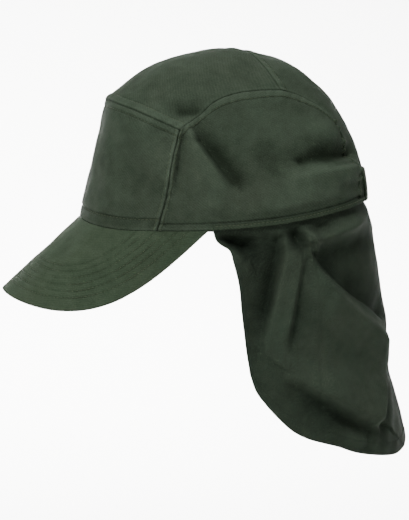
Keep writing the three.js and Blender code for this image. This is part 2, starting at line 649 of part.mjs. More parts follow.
function flapGeometry() {
  const { around, down } = flapSteps;
  const inside = cloth + gap;
  const sewnTurns = turnsFrom(peakEndTurn + flapBehindPeak, 180, linePoints);
  const sewnEdge = spaced(sewnTurns.map((turn) => byRim(turn, -flapSewnDrop, inside)), around);
  const corner = flapPlace(flapCorner);
  const hemBack = flapPlace(flapHemBack);
  const frontEdge = spaced([sewnEdge[0], ...flapFrontEdge.map(flapPlace), corner], down);
  const backLine = spaced([sewnEdge[around], ...flapBackLine.map(flapPlace), hemBack], down);
  const hem = spaced([corner, ...flapHem.map(flapPlace), hemBack], around);
  const half = gridBetween(sewnEdge, hem, frontEdge, backLine);

  // The outward direction at a grid point, from its neighbours
  const outward = half.map((row, j) => row.map((_, i) => {
    const aside = row[Math.min(i + 1, around)].clone().sub(row[Math.max(i - 1, 0)]);
    if (i === around) aside.set(-1, 0, 0);
    const downward = half[Math.min(j + 1, down)][i].clone().sub(half[Math.max(j - 1, 0)][i]);
    return downward.cross(aside).normalize();
  }));

  // A place on the half flap from its shares round and down, between the grid's points
  const placeOn = (round, low) => {
    const i = THREE.MathUtils.clamp(Math.floor(round * around), 0, around - 1);
    const j = THREE.MathUtils.clamp(Math.floor(low * down), 0, down - 1);
    const u = round * around - i;
    const v = low * down - j;
    const upper = half[j][i].clone().lerp(half[j][i + 1], u);
    return upper.lerp(half[j + 1][i].clone().lerp(half[j + 1][i + 1], u), v);
  };
  const lines = flapFolds.map((row) => foldLine(row, placeOn));
  const folded = (depth) => half.map((row, j) => row.map((p, i) => {
    const rise = j === 0 ? 0 : depth * foldRise(lines, p, outward[j][i], flapDrop);
    return p.clone().addScaledVector(outward[j][i], rise);
  }));
  const leftSide = folded(1);
  const rightSide = folded(farSideFolds);
  const blend = (own, other, j, i) => (
    own[j][i].clone().lerp(other[j][i], 0.5 * easeIn(i / around, flapSidesMeet, 1)));
  const swept = (p, j, i) => {
    const back = flapFarSweep * (1 - i / around) * easeIn(j / down, 0, flapSweptBy);
    return p.add(vector(0, back, 0));
  };

  // The sewn edge runs on up inside the crown, and the right half is the left half's mirror image
  const tuck = sewnEdge.map((p) => byRim(turnOf(p), flapTuck, inside));
  const tuckOutward = tuck.map(outwardAt);
  const flip = (p) => vector(-p.x, p.y, p.z);
  const whole = (left, right) => [...left, ...right.slice(0, around).reverse().map(flip)];
  const body = range(down + 1).map((j) => whole(
    range(around + 1).map((i) => blend(leftSide, rightSide, j, i)),
    range(around + 1).map((i) => swept(blend(rightSide, leftSide, j, i), j, i)),
  ));
  const directions = outward.map((row, j) => (j === 0 ? tuckOutward : row)).map((row) => whole(row, row));
  const outer = [whole(tuck, tuck), ...body];
  const allDirections = [whole(tuckOutward, tuckOutward), ...directions];
  const inner = outer.map((row, j) => row.map((p, i) => (
    p.clone().addScaledVector(allDirections[j][i], -flapCloth))));
  return wallBetween(outer, inner);
}
addPiece('neck_flap', flapGeometry(), flapFinish());

export default cap;
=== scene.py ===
import math
import bpy
import numpy as np
from mathutils import Matrix


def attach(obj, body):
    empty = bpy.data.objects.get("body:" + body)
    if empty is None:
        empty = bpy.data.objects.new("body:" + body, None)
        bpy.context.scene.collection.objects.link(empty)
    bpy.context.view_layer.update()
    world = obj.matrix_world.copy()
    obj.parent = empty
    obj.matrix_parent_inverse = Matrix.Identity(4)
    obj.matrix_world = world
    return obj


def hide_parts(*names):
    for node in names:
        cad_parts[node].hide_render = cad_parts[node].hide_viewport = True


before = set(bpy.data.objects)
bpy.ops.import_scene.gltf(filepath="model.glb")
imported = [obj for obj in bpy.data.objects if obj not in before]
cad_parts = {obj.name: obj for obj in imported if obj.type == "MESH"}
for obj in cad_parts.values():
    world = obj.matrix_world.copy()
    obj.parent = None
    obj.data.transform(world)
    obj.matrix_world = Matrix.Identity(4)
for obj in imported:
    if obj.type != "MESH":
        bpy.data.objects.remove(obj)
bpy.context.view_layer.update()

mm = 0.001  # the shapes below are worked out in millimetres

# A legionnaire cap: the peak points along -Y, the wearer's left is +X, and the origin is the centre
# of the head opening. Every surface is a function of two parameters on a grid. Turns are degrees
# round the rim from the front.
linePoints = 1200  # points on a finely cut line

# The profile and the rim's height are shares of half the length and of the height
crown = {
    "halfLength": 102.75, "halfWidth": 81.5, "height": 124, "squareness": 2.35,
    "centreDrop": 45, "frontTurn": 59.2, "backTurn": 153.6,
    "cloth": 1.1, "frontCloth": 1.6, "gap": 0.3,
    "swells": [(0.35, 34, 3), (0.12, 13, 5)],  # height, wavelength, seed
    "swellsFull": 8,  # mm from a seam at which the swells are at their full height
    # painted highlight on fold ridges and raised seam strips, painted shade in fold hollows and seam
    # grooves, and a paler line along each panel's edges
    "wear": {"fold": 0.085, "least": -0.5, "most": 0.22, "seam": 0.45, "seamRange": (-0.8, 0.4),
             "edge": 0.12, "edgeAt": 1.6, "edgeWidth": 0.9},
    "alongProfile": [-1.002, -0.957, -0.911, -0.863, -0.826, -0.814, -0.769, -0.665, -0.525, -0.372,
                     -0.191, 0.031, 0.226, 0.435, 0.59, 0.727, 0.845, 0.929, 0.967, 0.981],
    "upProfile": [0.035, 0.2, 0.37, 0.54, 0.67, 0.712, 0.75, 0.816, 0.891, 0.943,
                  0.983, 1.0, 0.975, 0.921, 0.836, 0.727, 0.565, 0.404, 0.265, 0.127],
    "rimTurns": [-28, 0, 28, 45, 60, 75, 90, 105, 120, 135, 150, 165, 180, 195],
    "rimUp": [0.011, 0.04, 0.011, -0.005, -0.005, -0.0025, 0.006, 0.025, 0.055, 0.091, 0.121,
              0.135, 0.139, 0.135],
}


def ease(value, start, end):  # a smooth step from 0 at start to 1 at end: 3 t^2 - 2 t^3
    t = np.clip((value - start) / (end - start), 0, 1)
    return t * t * (3 - 2 * t)


def bell(distance, width, power=2):  # 1 on the line, then e to the minus (distance / width)^power
    return np.exp(-np.abs(distance / width) ** power)


def unit(vectors):  # each vector divided by its own length
    return vectors / np.maximum(np.linalg.norm(vectors, axis=-1, keepdims=True), 1e-9)


def curveThrough(keys, values):
    # a smooth curve through table rows: between two rows the cubic with both rows' values and slopes,
    # where a row's slope is that of the line between its neighbours, and straight on past the ends
    keys, values = np.array(keys, float), np.array(values, float)
    before = np.maximum(np.arange(len(keys)) - 1, 0)
    after = np.minimum(np.arange(len(keys)) + 1, len(keys) - 1)
    slopes = (values[after] - values[before]) / (keys[after] - keys[before])

    def read(key):
        inside = np.clip(key, keys[0], keys[-1])
        i = np.clip(np.searchsorted(keys, inside, side="right") - 1, 0, len(keys) - 2)
        span = keys[i + 1] - keys[i]
        t = (inside - keys[i]) / span
        bent = ((2 * t**3 - 3 * t**2 + 1) * values[i] + (3 * t**2 - 2 * t**3) * values[i + 1]
                + ((t**3 - 2 * t**2 + t) * slopes[i] + (t**3 - t**2) * slopes[i + 1]) * span)
        ends = np.where(key < keys[0], slopes[0], slopes[-1])
        return bent + ends * (key - inside)

    return read


# Crown: distance from a low centre at each angle of the profile, closed to the sides as a superellipse
centre = np.array([0.0, 0.0, -crown["centreDrop"]])
profileY = np.array(crown["alongProfile"]) * crown["halfLength"]
profileZ = np.array(crown["upProfile"]) * crown["height"] + crown["centreDrop"]
profileRadius = curveThrough(np.arctan2(profileZ, -profileY), np.hypot(profileY, profileZ))
rimShare = curveThrough(crown["rimTurns"], crown["rimUp"])


def fullness(points):  # 1 on the crown's surface, less inside, more outside
    p = points - centre
    inPlane = np.hypot(p[..., 1], p[..., 2]) / profileRadius(np.arctan2(p[..., 2], -p[..., 1]))
    sideways = np.abs(p[..., 0]) / crown["halfWidth"]
    k = crown["squareness"]
    return (inPlane**k + sideways**k) ** (1 / k)


def onCrown(points):  # the surface's point on the ray from the low centre
    return centre + (points - centre) / fullness(points)[..., None]


def outwardAt(points):  # the surface's outward direction, from the slope of its fullness
    steps = np.eye(3) * 0.05
    slope = [fullness(points + step) - fullness(points - step) for step in steps]
    return unit(np.stack(slope, -1))


def rimHeight(turn):  # the rim's height at a turn, the same on both sides
    turn = np.abs(turn)
    return crown["height"] * rimShare(np.where(turn > 180, 360 - turn, turn))


def byRim(turn, above=0.0, inside=0.0):
    # the point at a turn: so far above the rim, and so far inside the crown's surface. Dividing x and
    # y by the point's fullness, over and over, brings it onto the surface
    turn = np.asarray(turn, float)
    z = rimHeight(turn) + above
    x = crown["halfWidth"] * np.sin(np.radians(turn)) + 0 * z
    y = -crown["halfLength"] * np.cos(np.radians(turn)) + 0 * z
    for _ in range(14):
        full = fullness(np.stack([x, y, z], -1))
        x, y = x / full, y / full
    p = np.stack([x, y, z], -1)
    return p - outwardAt(p) * np.asarray(inside, float)[..., None]


def turnOf(points):  # the turn round the rim at which each point lies
    aside, ahead = points[..., 0] / crown["halfWidth"], -points[..., 1] / crown["halfLength"]
    return np.degrees(np.arctan2(aside, ahead))


def crownPlaces(rows):  # shares of half the width, half the length and the height, put on the crown
    rows = np.array(rows, float)
    return onCrown(rows * [crown["halfWidth"], crown["halfLength"], crown["height"]])


def smoothLine(points):
    # a finely cut smooth line through some points: blends of straight lines through each four
    # neighbours, whose knots lie apart by the root of the points' distance
    p = np.asarray(points, float)
    p = np.concatenate([[2 * p[0] - p[1]], p, [2 * p[-1] - p[-2]]])
    knots = np.concatenate([[0], np.cumsum(np.linalg.norm(np.diff(p, axis=0), axis=1) ** 0.5)])
    t = np.linspace(knots[1], knots[-2], linePoints)
    i = np.clip(np.searchsorted(knots, t, side="right") - 1, 1, len(p) - 3)

    def blend(a, b, ka, kb):  # the straight line that has a at knot ka and b at knot kb
        w = ((t - kb) / (ka - kb))[:, None]
        return w * a + (1 - w) * b

    k0, k1, k2, k3 = knots[i - 1], knots[i], knots[i + 1], knots[i + 2]
    a1 = blend(p[i - 1], p[i], k0, k1)
    a2 = blend(p[i], p[i + 1], k1, k2)
    a3 = blend(p[i + 1], p[i + 2], k2, k3)
    return blend(blend(a1, a2, k0, k2), blend(a2, a3, k1, k3), k1, k2)


def stationsOn(line, shares):  # the points at some shares of a line's length
    lengths = np.concatenate([[0], np.cumsum(np.linalg.norm(np.diff(line, axis=0), axis=1))])
    wanted = np.asarray(shares) * lengths[-1]
    return np.stack([np.interp(wanted, lengths, line[:, axis]) for axis in range(3)], -1)


def fineAtEnds(count, strength=0.85):  # shares from 0 to 1 that lie closer together near both ends
    t = np.linspace(0, 1, count)
    return t - strength * np.sin(2 * np.pi * t) / (2 * np.pi)


def mirrored(points):  # the same places on the other side of the middle plane
    return points * [-1, 1, 1]


def acrossMiddle(leftHalf):  # a line over the middle plane, from the right side to the left
    return np.concatenate([mirrored(leftHalf[:0:-1]), leftHalf])


def gridBetween(bottom, top, left, right, across, up):
    # fills four border lines: the blend of opposite borders, less the blend of the corners
    bottom, top = stationsOn(bottom, across), stationsOn(top, across)
    left, right = stationsOn(left, up), stationsOn(right, up)
    u, v = across[None, :, None], up[:, None, None]
    sides = (1 - v) * bottom[None] + v * top[None] + (1 - u) * left[:, None] + u * right[:, None]
    corners = (1 - v) * ((1 - u) * bottom[0] + u * bottom[-1]) + v * ((1 - u) * top[0] + u * top[-1])
    return sides - corners


def runLength(grid, axis):  # millimetres walked along the grid in one direction, at each point
    steps = np.linalg.norm(np.diff(grid, axis=axis), axis=-1)
    start = np.zeros_like(np.take(steps, [0], axis=axis))
    return np.cumsum(np.concatenate([start, steps], axis=axis), axis=axis)


def foldLines(rows, place):  # each fold's run as a quadratic curve through its three places
    t = np.linspace(0, 1, 15)[:, None]
    lines = []
    for row in rows:
        start, via, end = (np.array(row[key], float) for key in ("start", "via", "end"))
        bend = 2 * via - (start + end) / 2
        shares = (1 - t) ** 2 * start + 2 * t * (1 - t) * bend + t**2 * end
        lines.append(place(shares[:, 0], shares[:, 1]))
    return lines


# How strong a fold is at its two ends, and the share of its run over which it gains full strength
foldEnds = {"strength": (0.3, 0.3), "over": 0.35}


def foldRise(rows, lines, points, outward):
    # how far the folds lift each point: a fold's rise fades with the distance from its run, over one
    # width on the left of the run and another on the right, and eases off towards its two ends
    total = np.zeros(points.shape[:-1])
    for row, line in zip(rows, lines):
        nearest = np.full(total.shape, np.inf)
        onLeft = np.zeros(total.shape, bool)
        along = np.zeros(total.shape)
        for k in range(len(line) - 1):
            run = line[k + 1] - line[k]
            offset = points - line[k]
            share = np.clip((offset @ run) / (run @ run), 0, 1)
            offset = offset - share[..., None] * run
            distance = np.linalg.norm(offset, axis=-1)
            closer = distance < nearest
            left = (np.cross(run, offset) * outward).sum(-1) > 0
            nearest = np.where(closer, distance, nearest)
            onLeft = np.where(closer, left, onLeft)
            along = np.where(closer, (k + share) / (len(line) - 1), along)
        width = np.where(onLeft, row["left"], row["right"])
        first, last = row.get("ends", foldEnds["strength"])
        atStart = first + (1 - first) * ease(along, 0, foldEnds["over"])
        atEnd = last + (1 - last) * ease(1 - along, 0, foldEnds["over"])
        total += row["rise"] * (atStart * atEnd) * bell(nearest, width, row["power"])
    return total


def unevenness(points, wavelength, seed, count=9):
    # gentle swells of no clear direction: the sum of sine waves that run in random directions, over
    # the root of their number
    random = np.random.default_rng(seed)
    directions = unit(random.normal(size=(count, 3)))
    phases = random.uniform(0, 2 * np.pi, count)
    scales = random.uniform(0.7, 1.4, count)
    waves = [np.sin(2 * np.pi * (points @ direction) * scale / wavelength + phase)
             for direction, scale, phase in zip(directions, scales, phases)]
    return np.sum(waves, axis=0) / math.sqrt(count)


def swellsOf(points, rows):  # height times unevenness, summed over rows of height, wavelength and seed
    return sum(height * unevenness(points, wavelength, seed) for height, wavelength, seed in rows)


def paintedFoldShade(lift, wear):  # painted highlight on a fold's ridge and painted shade in its hollow: paler in step with the fold's rise, darker where it sinks, between a least and a most
    return np.clip(wear["fold"] * lift, wear["least"], wear["most"])


# Meshes
def addMesh(name, points, faces, uv=None):
    # a smooth-shaded piece from points in mm and four-sided faces, with the cloth's own UV map in mm
    mesh = bpy.data.meshes.new(name)
    points, faces = np.asarray(points, float) * mm, np.asarray(faces)
    mesh.vertices.add(len(points))
    mesh.vertices.foreach_set("co", points.ravel())
    mesh.loops.add(faces.size)
    mesh.loops.foreach_set("vertex_index", faces.ravel().astype(np.int32))
    mesh.polygons.add(len(faces))
    mesh.polygons.foreach_set("loop_start", np.arange(len(faces), dtype=np.int32) * faces.shape[1])
    mesh.polygons.foreach_set("use_smooth", np.ones(len(faces), bool))
    mesh.update(calc_edges=True)
    mesh.validate()
    if uv is not None:
        layer = mesh.uv_layers.new(name="cloth")
        layer.data.foreach_set("uv", (np.asarray(uv) * mm)[faces.ravel()].ravel())
    piece = bpy.data.objects.new(name, mesh)
    bpy.context.collection.objects.link(piece)
    return piece


def wallFaces(rows, columns, ring=False):
    # quads of an outer and an inner grid and of the strips that close their borders
    index = np.arange(rows * columns).reshape(rows, columns)
    if ring:
        index = np.concatenate([index, index[:, :1]], axis=1)
    inner = index + rows * columns

    def quads(a, b, c, d):
        return np.stack([a, b, c, d], -1).reshape(-1, 4)

    faces = [
        quads(index[:-1, :-1], index[:-1, 1:], index[1:, 1:], index[1:, :-1]),
        quads(inner[:-1, :-1], inner[1:, :-1], inner[1:, 1:], inner[:-1, 1:]),
        quads(index[0, :-1], inner[0, :-1], inner[0, 1:], index[0, 1:]),
        quads(index[-1, :-1], index[-1, 1:], inner[-1, 1:], inner[-1, :-1]),
    ]
    if not ring:
        faces.append(quads(index[:-1, 0], index[1:, 0], inner[1:, 0], inner[:-1, 0]))
        faces.append(quads(index[:-1, -1], inner[:-1, -1], inner[1:, -1], index[1:, -1]))
    return np.concatenate(faces)


def signedVolume(points, faces):
    # the volume inside, negative where faces point inwards: a . (b x c) / 6 over each half of a quad
    a, b, c, d = (points[faces[:, k]] for k in range(4))
    return ((a * np.cross(b, c)).sum() + (a * np.cross(c, d)).sum()) / 6


def addWall(name, outer, inner, uv, ring=False):
    # a closed sheet between two grids of points
    rows, columns = outer.shape[:2]
    points = np.concatenate([outer.reshape(-1, 3), inner.reshape(-1, 3)])
    faces = wallFaces(rows, columns, ring)
    if signedVolume(points, faces) < 0:
        faces = faces[:, ::-1]
    return addMesh(name, points, faces, np.concatenate([uv.reshape(-1, 2)] * 2))


def clothUv(grid):  # millimetres along the cloth: across from the middle column, up from the first row
    across = runLength(grid, 1)
    up = runLength(grid, 0)
    middle = across[:, across.shape[1] // 2][:, None]
    return np.stack([across - middle, up], -1)


# Stitching: short rounded threads laid end to end along a line on the cloth, in mm
thread = {
    "pitch": 2.9, "length": 2.3, "radius": 0.24, "sides": 6, "sink": 0.06, "arch": 0.55,
    "spindle": [(-1, 0.25), (-0.8, 0.85), (-0.3, 1.1), (0.3, 1.1), (0.8, 0.85), (1, 0.25)],  # along, thick
}


def stitchRow(path, normals):
    # the points and faces of one row: at each stitch a spindle along the path, half sunk in the cloth,
    # lifted by arch - arch x along^2 times its radius
    lengths = np.concatenate([[0], np.cumsum(np.linalg.norm(np.diff(path, axis=0), axis=1))])
    count = max(int(lengths[-1] / thread["pitch"]), 1)
    places = (np.arange(count) + 0.5) * lengths[-1] / count

    def at(values, where):  # values read off at distances along the path
        return np.stack([np.interp(where, lengths, values[:, axis]) for axis in range(3)], -1)

    middle, up = at(path, places), unit(at(normals, places))
    step = thread["pitch"] / 3
    ahead = unit(at(path, places + step) - at(path, places - step))
    aside = unit(np.cross(up, ahead))
    along, thick = np.array(thread["spindle"]).T
    half, radius = thread["length"] / 2, thread["radius"]
    lift = radius * (thread["arch"] - thread["arch"] * along**2) - thread["sink"]
    rings = (middle[:, None, None] + ahead[:, None, None] * (along * half)[None, :, None, None]
             + up[:, None, None] * lift[None, :, None, None])
    sides, ringCount = thread["sides"], len(along)
    angles = np.arange(sides) * 2 * np.pi / sides
    rim = aside[:, None] * np.cos(angles)[None, :, None] + up[:, None] * np.sin(angles)[None, :, None]
    points = rings + rim[:, None] * (thick * radius)[None, :, None, None]
    j, i = np.meshgrid(np.arange(ringCount - 1), np.arange(sides), indexing="ij")
    nextI = (i + 1) % sides
    corners = [j * sides + i, j * sides + nextI, (j + 1) * sides + nextI, (j + 1) * sides + i]
    body = np.stack(corners, -1).reshape(-1, 4)
    caps = np.array([[0, 5, 4, 3], [3, 2, 1, 0]])  # a six-sided end as two quads
    end = (ringCount - 1) * sides
    body = np.concatenate([body, caps, end + caps[:, ::-1]])
    offsets = (np.arange(count) * ringCount * sides)[:, None, None]
    return points.reshape(-1, 3), (body[None] + offsets).reshape(-1, 4)


def addStitching(name, rows, finish="thread"):
    # several rows of stitches as one mesh, each row's faces counted on from the rows before
    starts = np.cumsum([0] + [len(rowPoints) for rowPoints, _ in rows])
    points = np.concatenate([rowPoints for rowPoints, _ in rows])
    faces = np.concatenate([rowFaces + start for (_, rowFaces), start in zip(rows, starts)])
    piece = addMesh(name, points, faces if signedVolume(points, faces) > 0 else faces[:, ::-1])
    finished(piece, finish)


def lineBeside(grid, normals, border, distance, trim=(0.01, 0.99)):
    # the line on a grid that runs along one border at a distance from it, with its normals
    def turned(values):  # the grid with that border first along each of its rows
        return {"left": values, "right": values[:, ::-1], "bottom": values.transpose(1, 0, 2),
                "top": values[::-1].transpose(1, 0, 2)}[border]

    cells, outward = turned(grid), turned(normals)
    walked = runLength(cells, 1)
    spots = np.array([np.interp(distance, row, np.arange(len(row))) for row in walked])
    low = np.minimum(spots.astype(int), walked.shape[1] - 2)
    share = (spots - low)[:, None]
    each = np.arange(len(spots))
    path = cells[each, low] * (1 - share) + cells[each, low + 1] * share
    kept = slice(int(trim[0] * len(path)), int(np.ceil(trim[1] * len(path))))
    return path[kept], outward[each, low][kept]


# Materials
class Socket:
    # an output socket of a material; arithmetic on it adds Math nodes, with numbers on either side
    def __init__(self, tree, link):
        self.tree, self.link = tree, link

    def node(self, kind, settings=None, output=0, **values):
        # one node of any kind: its settings first, then its sockets by name, or by number as in n0
        node = self.tree.nodes.new("ShaderNode" + kind)
        for name, value in (settings or {}).items():
            setattr(node, name, value)
        for name, value in values.items():
            key = int(name[1:]) if name[1:].isdigit() else name.replace("_", " ")
            if isinstance(value, Socket):
                self.tree.links.new(value.link, node.inputs[key])
            else:
                node.inputs[key].default_value = value
        return Socket(self.tree, node.outputs[output])

    def math(self, operation, *values, clamp=False):
        settings = {"operation": operation, "use_clamp": clamp}
        return self.node("Math", settings, **{f"n{k}": value for k, value in enumerate(values)})

    def vector(self, operation, *values):
        settings = {"operation": operation}
        return self.node("VectorMath", settings, **{f"n{k}": value for k, value in enumerate(values)})

    def __add__(self, other):
        return self.math("ADD", self, other)

    def __radd__(self, other):
        return self.math("ADD", other, self)

    def __sub__(self, other):
        return self.math("SUBTRACT", self, other)

    def __rsub__(self, other):
        return self.math("SUBTRACT", other, self)

    def __mul__(self, other):
        return self.math("MULTIPLY", self, other)

    def __rmul__(self, other):
        return self.math("MULTIPLY", other, self)

    def mixed(self, first, second):  # the colour from first to second, by this socket as the share
        return self.node("Mix", {"data_type": "RGBA"}, output=2, n0=self, n6=first, n7=second)


def colour(red, green, blue):  # a colour that covers fully
    return (red, green, blue, 1.0)


twill = {
    "rib": 1.4, "ribRun": (0.62, 0.785), "threadsToRib": 1.7, "wander": 7.0,
    "scales": {"wander": 300.0, "fuzz": 950.0, "patches": 55.0, "slubs": 150.0, "dulling": 24.0},
    "tones": {"patches": 0.6, "slubs": 0.4, "fuzz": 0.75, "ribs": 0.06}, "dulled": (1.16, 0.97, 1.02),
    "heights": {"ribs": 0.5, "threads": 0.22, "fuzz": 0.7}, "bump": 0.75, "relief": 0.16,
    "roughness": 0.84, "fuzzRoughness": 0.12, "specular": 0.07,
}
finishes = {
    "crown_cloth": {"deep": (0.011, 0.018, 0.0105), "pale": (0.040, 0.060, 0.040)},
    "peak_cloth": {"deep": (0.014, 0.025, 0.013), "pale": (0.041, 0.064, 0.039)},
    # the flap's twill is darker than the crown's: partly its own cloth, partly painted shade where it hangs
    # below the crown
    "flap_cloth": {"deep": (0.007, 0.012, 0.0075), "pale": (0.028, 0.042, 0.028)},
    "trim_cloth": {"deep": (0.010, 0.017, 0.0095), "pale": (0.035, 0.053, 0.034)},
    "thread": {"deep": (0.020, 0.031, 0.016), "pale": (0.054, 0.076, 0.045), "rib": 0.3, "roughness": 0.6},
}


def clothFinish(name, look):
    # twill: fine diagonal ribs on the cloth's own UV map, crossed by finer threads, with fuzz, slubs,
    # wider patches where the dye has faded, paler painted highlight on ridges and deeper painted shade in
    # creases.
    # share of the pale colour = 1/2 + painted shade and wear + each tone times its pattern, less the
    # patterns' mean
    material = bpy.data.materials.new(name)
    material.use_nodes = True
    tree = material.node_tree
    shader = tree.nodes["Principled BSDF"]
    start = Socket(tree, None)
    place = start.node("UVMap", {"uv_map": "cloth"})
    body = start.node("TexCoord", output="Object")
    across, up = (start.node("SeparateXYZ", output=axis, n0=place) for axis in "XY")
    scales, tones, heights = look["scales"], look["tones"], look["heights"]
    aside, ahead = look["ribRun"]
    count = 2 * math.pi / (look["rib"] * mm)
    wander = start.node("TexNoise", Vector=place, Scale=scales["wander"], Detail=2.0) * look["wander"]
    ribs = start.math("SINE", (across * aside + up * ahead) * count + wander)
    threads = start.math("SINE", (across * ahead - up * aside) * (count * look["threadsToRib"]) + wander)
    fuzz = start.node("TexNoise", Vector=place, Scale=scales["fuzz"], Detail=2.0)
    patches = start.node("TexNoise", Vector=body, Scale=scales["patches"], Detail=4.0)
    slubs = start.node("TexNoise", Vector=place, Scale=scales["slubs"], Detail=3.0)
    # each point's painted highlight and painted shade, with its edges' paler or darker tone
    shadeAndWearTone = start.node("Attribute", {"attribute_name": "shadeAndWearTone"}, output="Fac")
    tone = patches * tones["patches"] + slubs * tones["slubs"] + fuzz * tones["fuzz"] + ribs * tones["ribs"]
    level = tones["patches"] / 2 + tones["slubs"] / 2 + tones["fuzz"] / 2
    shade = start.math("ADD", tone - level + shadeAndWearTone, 0.5, clamp=True)
    even = shade.mixed(colour(*look["deep"]), colour(*look["pale"]))
    dulled = even.vector("MULTIPLY", even, look["dulled"])
    base = start.node("TexNoise", Vector=body, Scale=scales["dulling"], Detail=3.0).mixed(even, dulled)
    height = ribs * heights["ribs"] + threads * heights["threads"] + fuzz * heights["fuzz"]
    bump = start.node("Bump", Strength=look["bump"], Distance=look["relief"] * mm, Height=height)
    rough = fuzz * look["fuzzRoughness"] + (look["roughness"] - look["fuzzRoughness"] / 2)
    tree.links.new(base.link, shader.inputs["Base Color"])
    tree.links.new(bump.link, shader.inputs["Normal"])
    tree.links.new(rough.link, shader.inputs["Roughness"])
    shader.inputs["Specular IOR Level"].default_value = look["specular"]
    return material


finishes = {name: clothFinish(name, twill | own) for name, own in finishes.items()}
print("materials made")


def finished(piece, finish, shadeAndWearTone=None):
    # gives a piece its material, its painted shade and wear at each point, and its body
    piece.data.materials.append(finishes[finish])
    if shadeAndWearTone is not None:
        layer = piece.data.attributes.new("shadeAndWearTone", "FLOAT", "POINT")
        layer.data.foreach_set("value", np.asarray(shadeAndWearTone, np.float32).ravel())
    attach(piece, "root")


# Seams: the points that each runs through, as shares of half the width, half the length and the height
seamPoints = {
    "frontSide": [(0.894, -0.493, 0.102), (0.887, -0.452, 0.223),
                  (0.849, -0.422, 0.36), (0.792, -0.378, 0.503)],
    "frontCorner": [(0.771, -0.362, 0.547)],
    "frontTop": [(0, -0.825, 0.704), (0.341, -0.767, 0.694),
                 (0.541, -0.65, 0.659), (0.668, -0.524, 0.611)],
    "topSide": [(0.724, -0.204, 0.657), (0.693, -0.127, 0.706),
                (0.667, -0.016, 0.744), (0.637, 0.123, 0.767)],
    "crossCorner": [(0.579, 0.338, 0.77)],
    "cross": [(0, 0.137, 0.998), (0.19, 0.166, 0.976), (0.368, 0.225, 0.915), (0.5, 0.29, 0.84)],
    "shoulder": [(0.546, 0.464, 0.737), (0.498, 0.617, 0.667)],
    "backShoulder": [(0.469, 0.714, 0.583)],
    "backSide": [(0.454, 0.797, 0.483), (0.453, 0.866, 0.368), (0.456, 0.909, 0.248)],
}
seamPoints = {name: crownPlaces(rows) for name, rows in seamPoints.items()}


def crownSeam(*names):  # a smooth line on the crown through named points and turns of the rim
    stops = [byRim([name]) if isinstance(name, float) else seamPoints[name] for name in names]
    return onCrown(smoothLine(np.concatenate(stops)))


def rimBetween(start, end):  # the rim's line from one turn to another
    return byRim(np.linspace(start, end, linePoints))


frontSideLine = crownSeam(crown["frontTurn"], "frontSide", "frontCorner")
frontTopLine = acrossMiddle(crownSeam("frontTop", "frontCorner"))
topSideLine = crownSeam("frontCorner", "topSide", "crossCorner")
crossLine = acrossMiddle(crownSeam("cross", "crossCorner"))
shoulderLine = crownSeam("crossCorner", "shoulder", "backShoulder")
backSideLine = crownSeam("backShoulder", "backSide", crown["backTurn"])
wholeBackLine = np.concatenate([shoulderLine, backSideLine[1:]])[::-1]
sideTopLine = np.concatenate([topSideLine, shoulderLine[1:]])

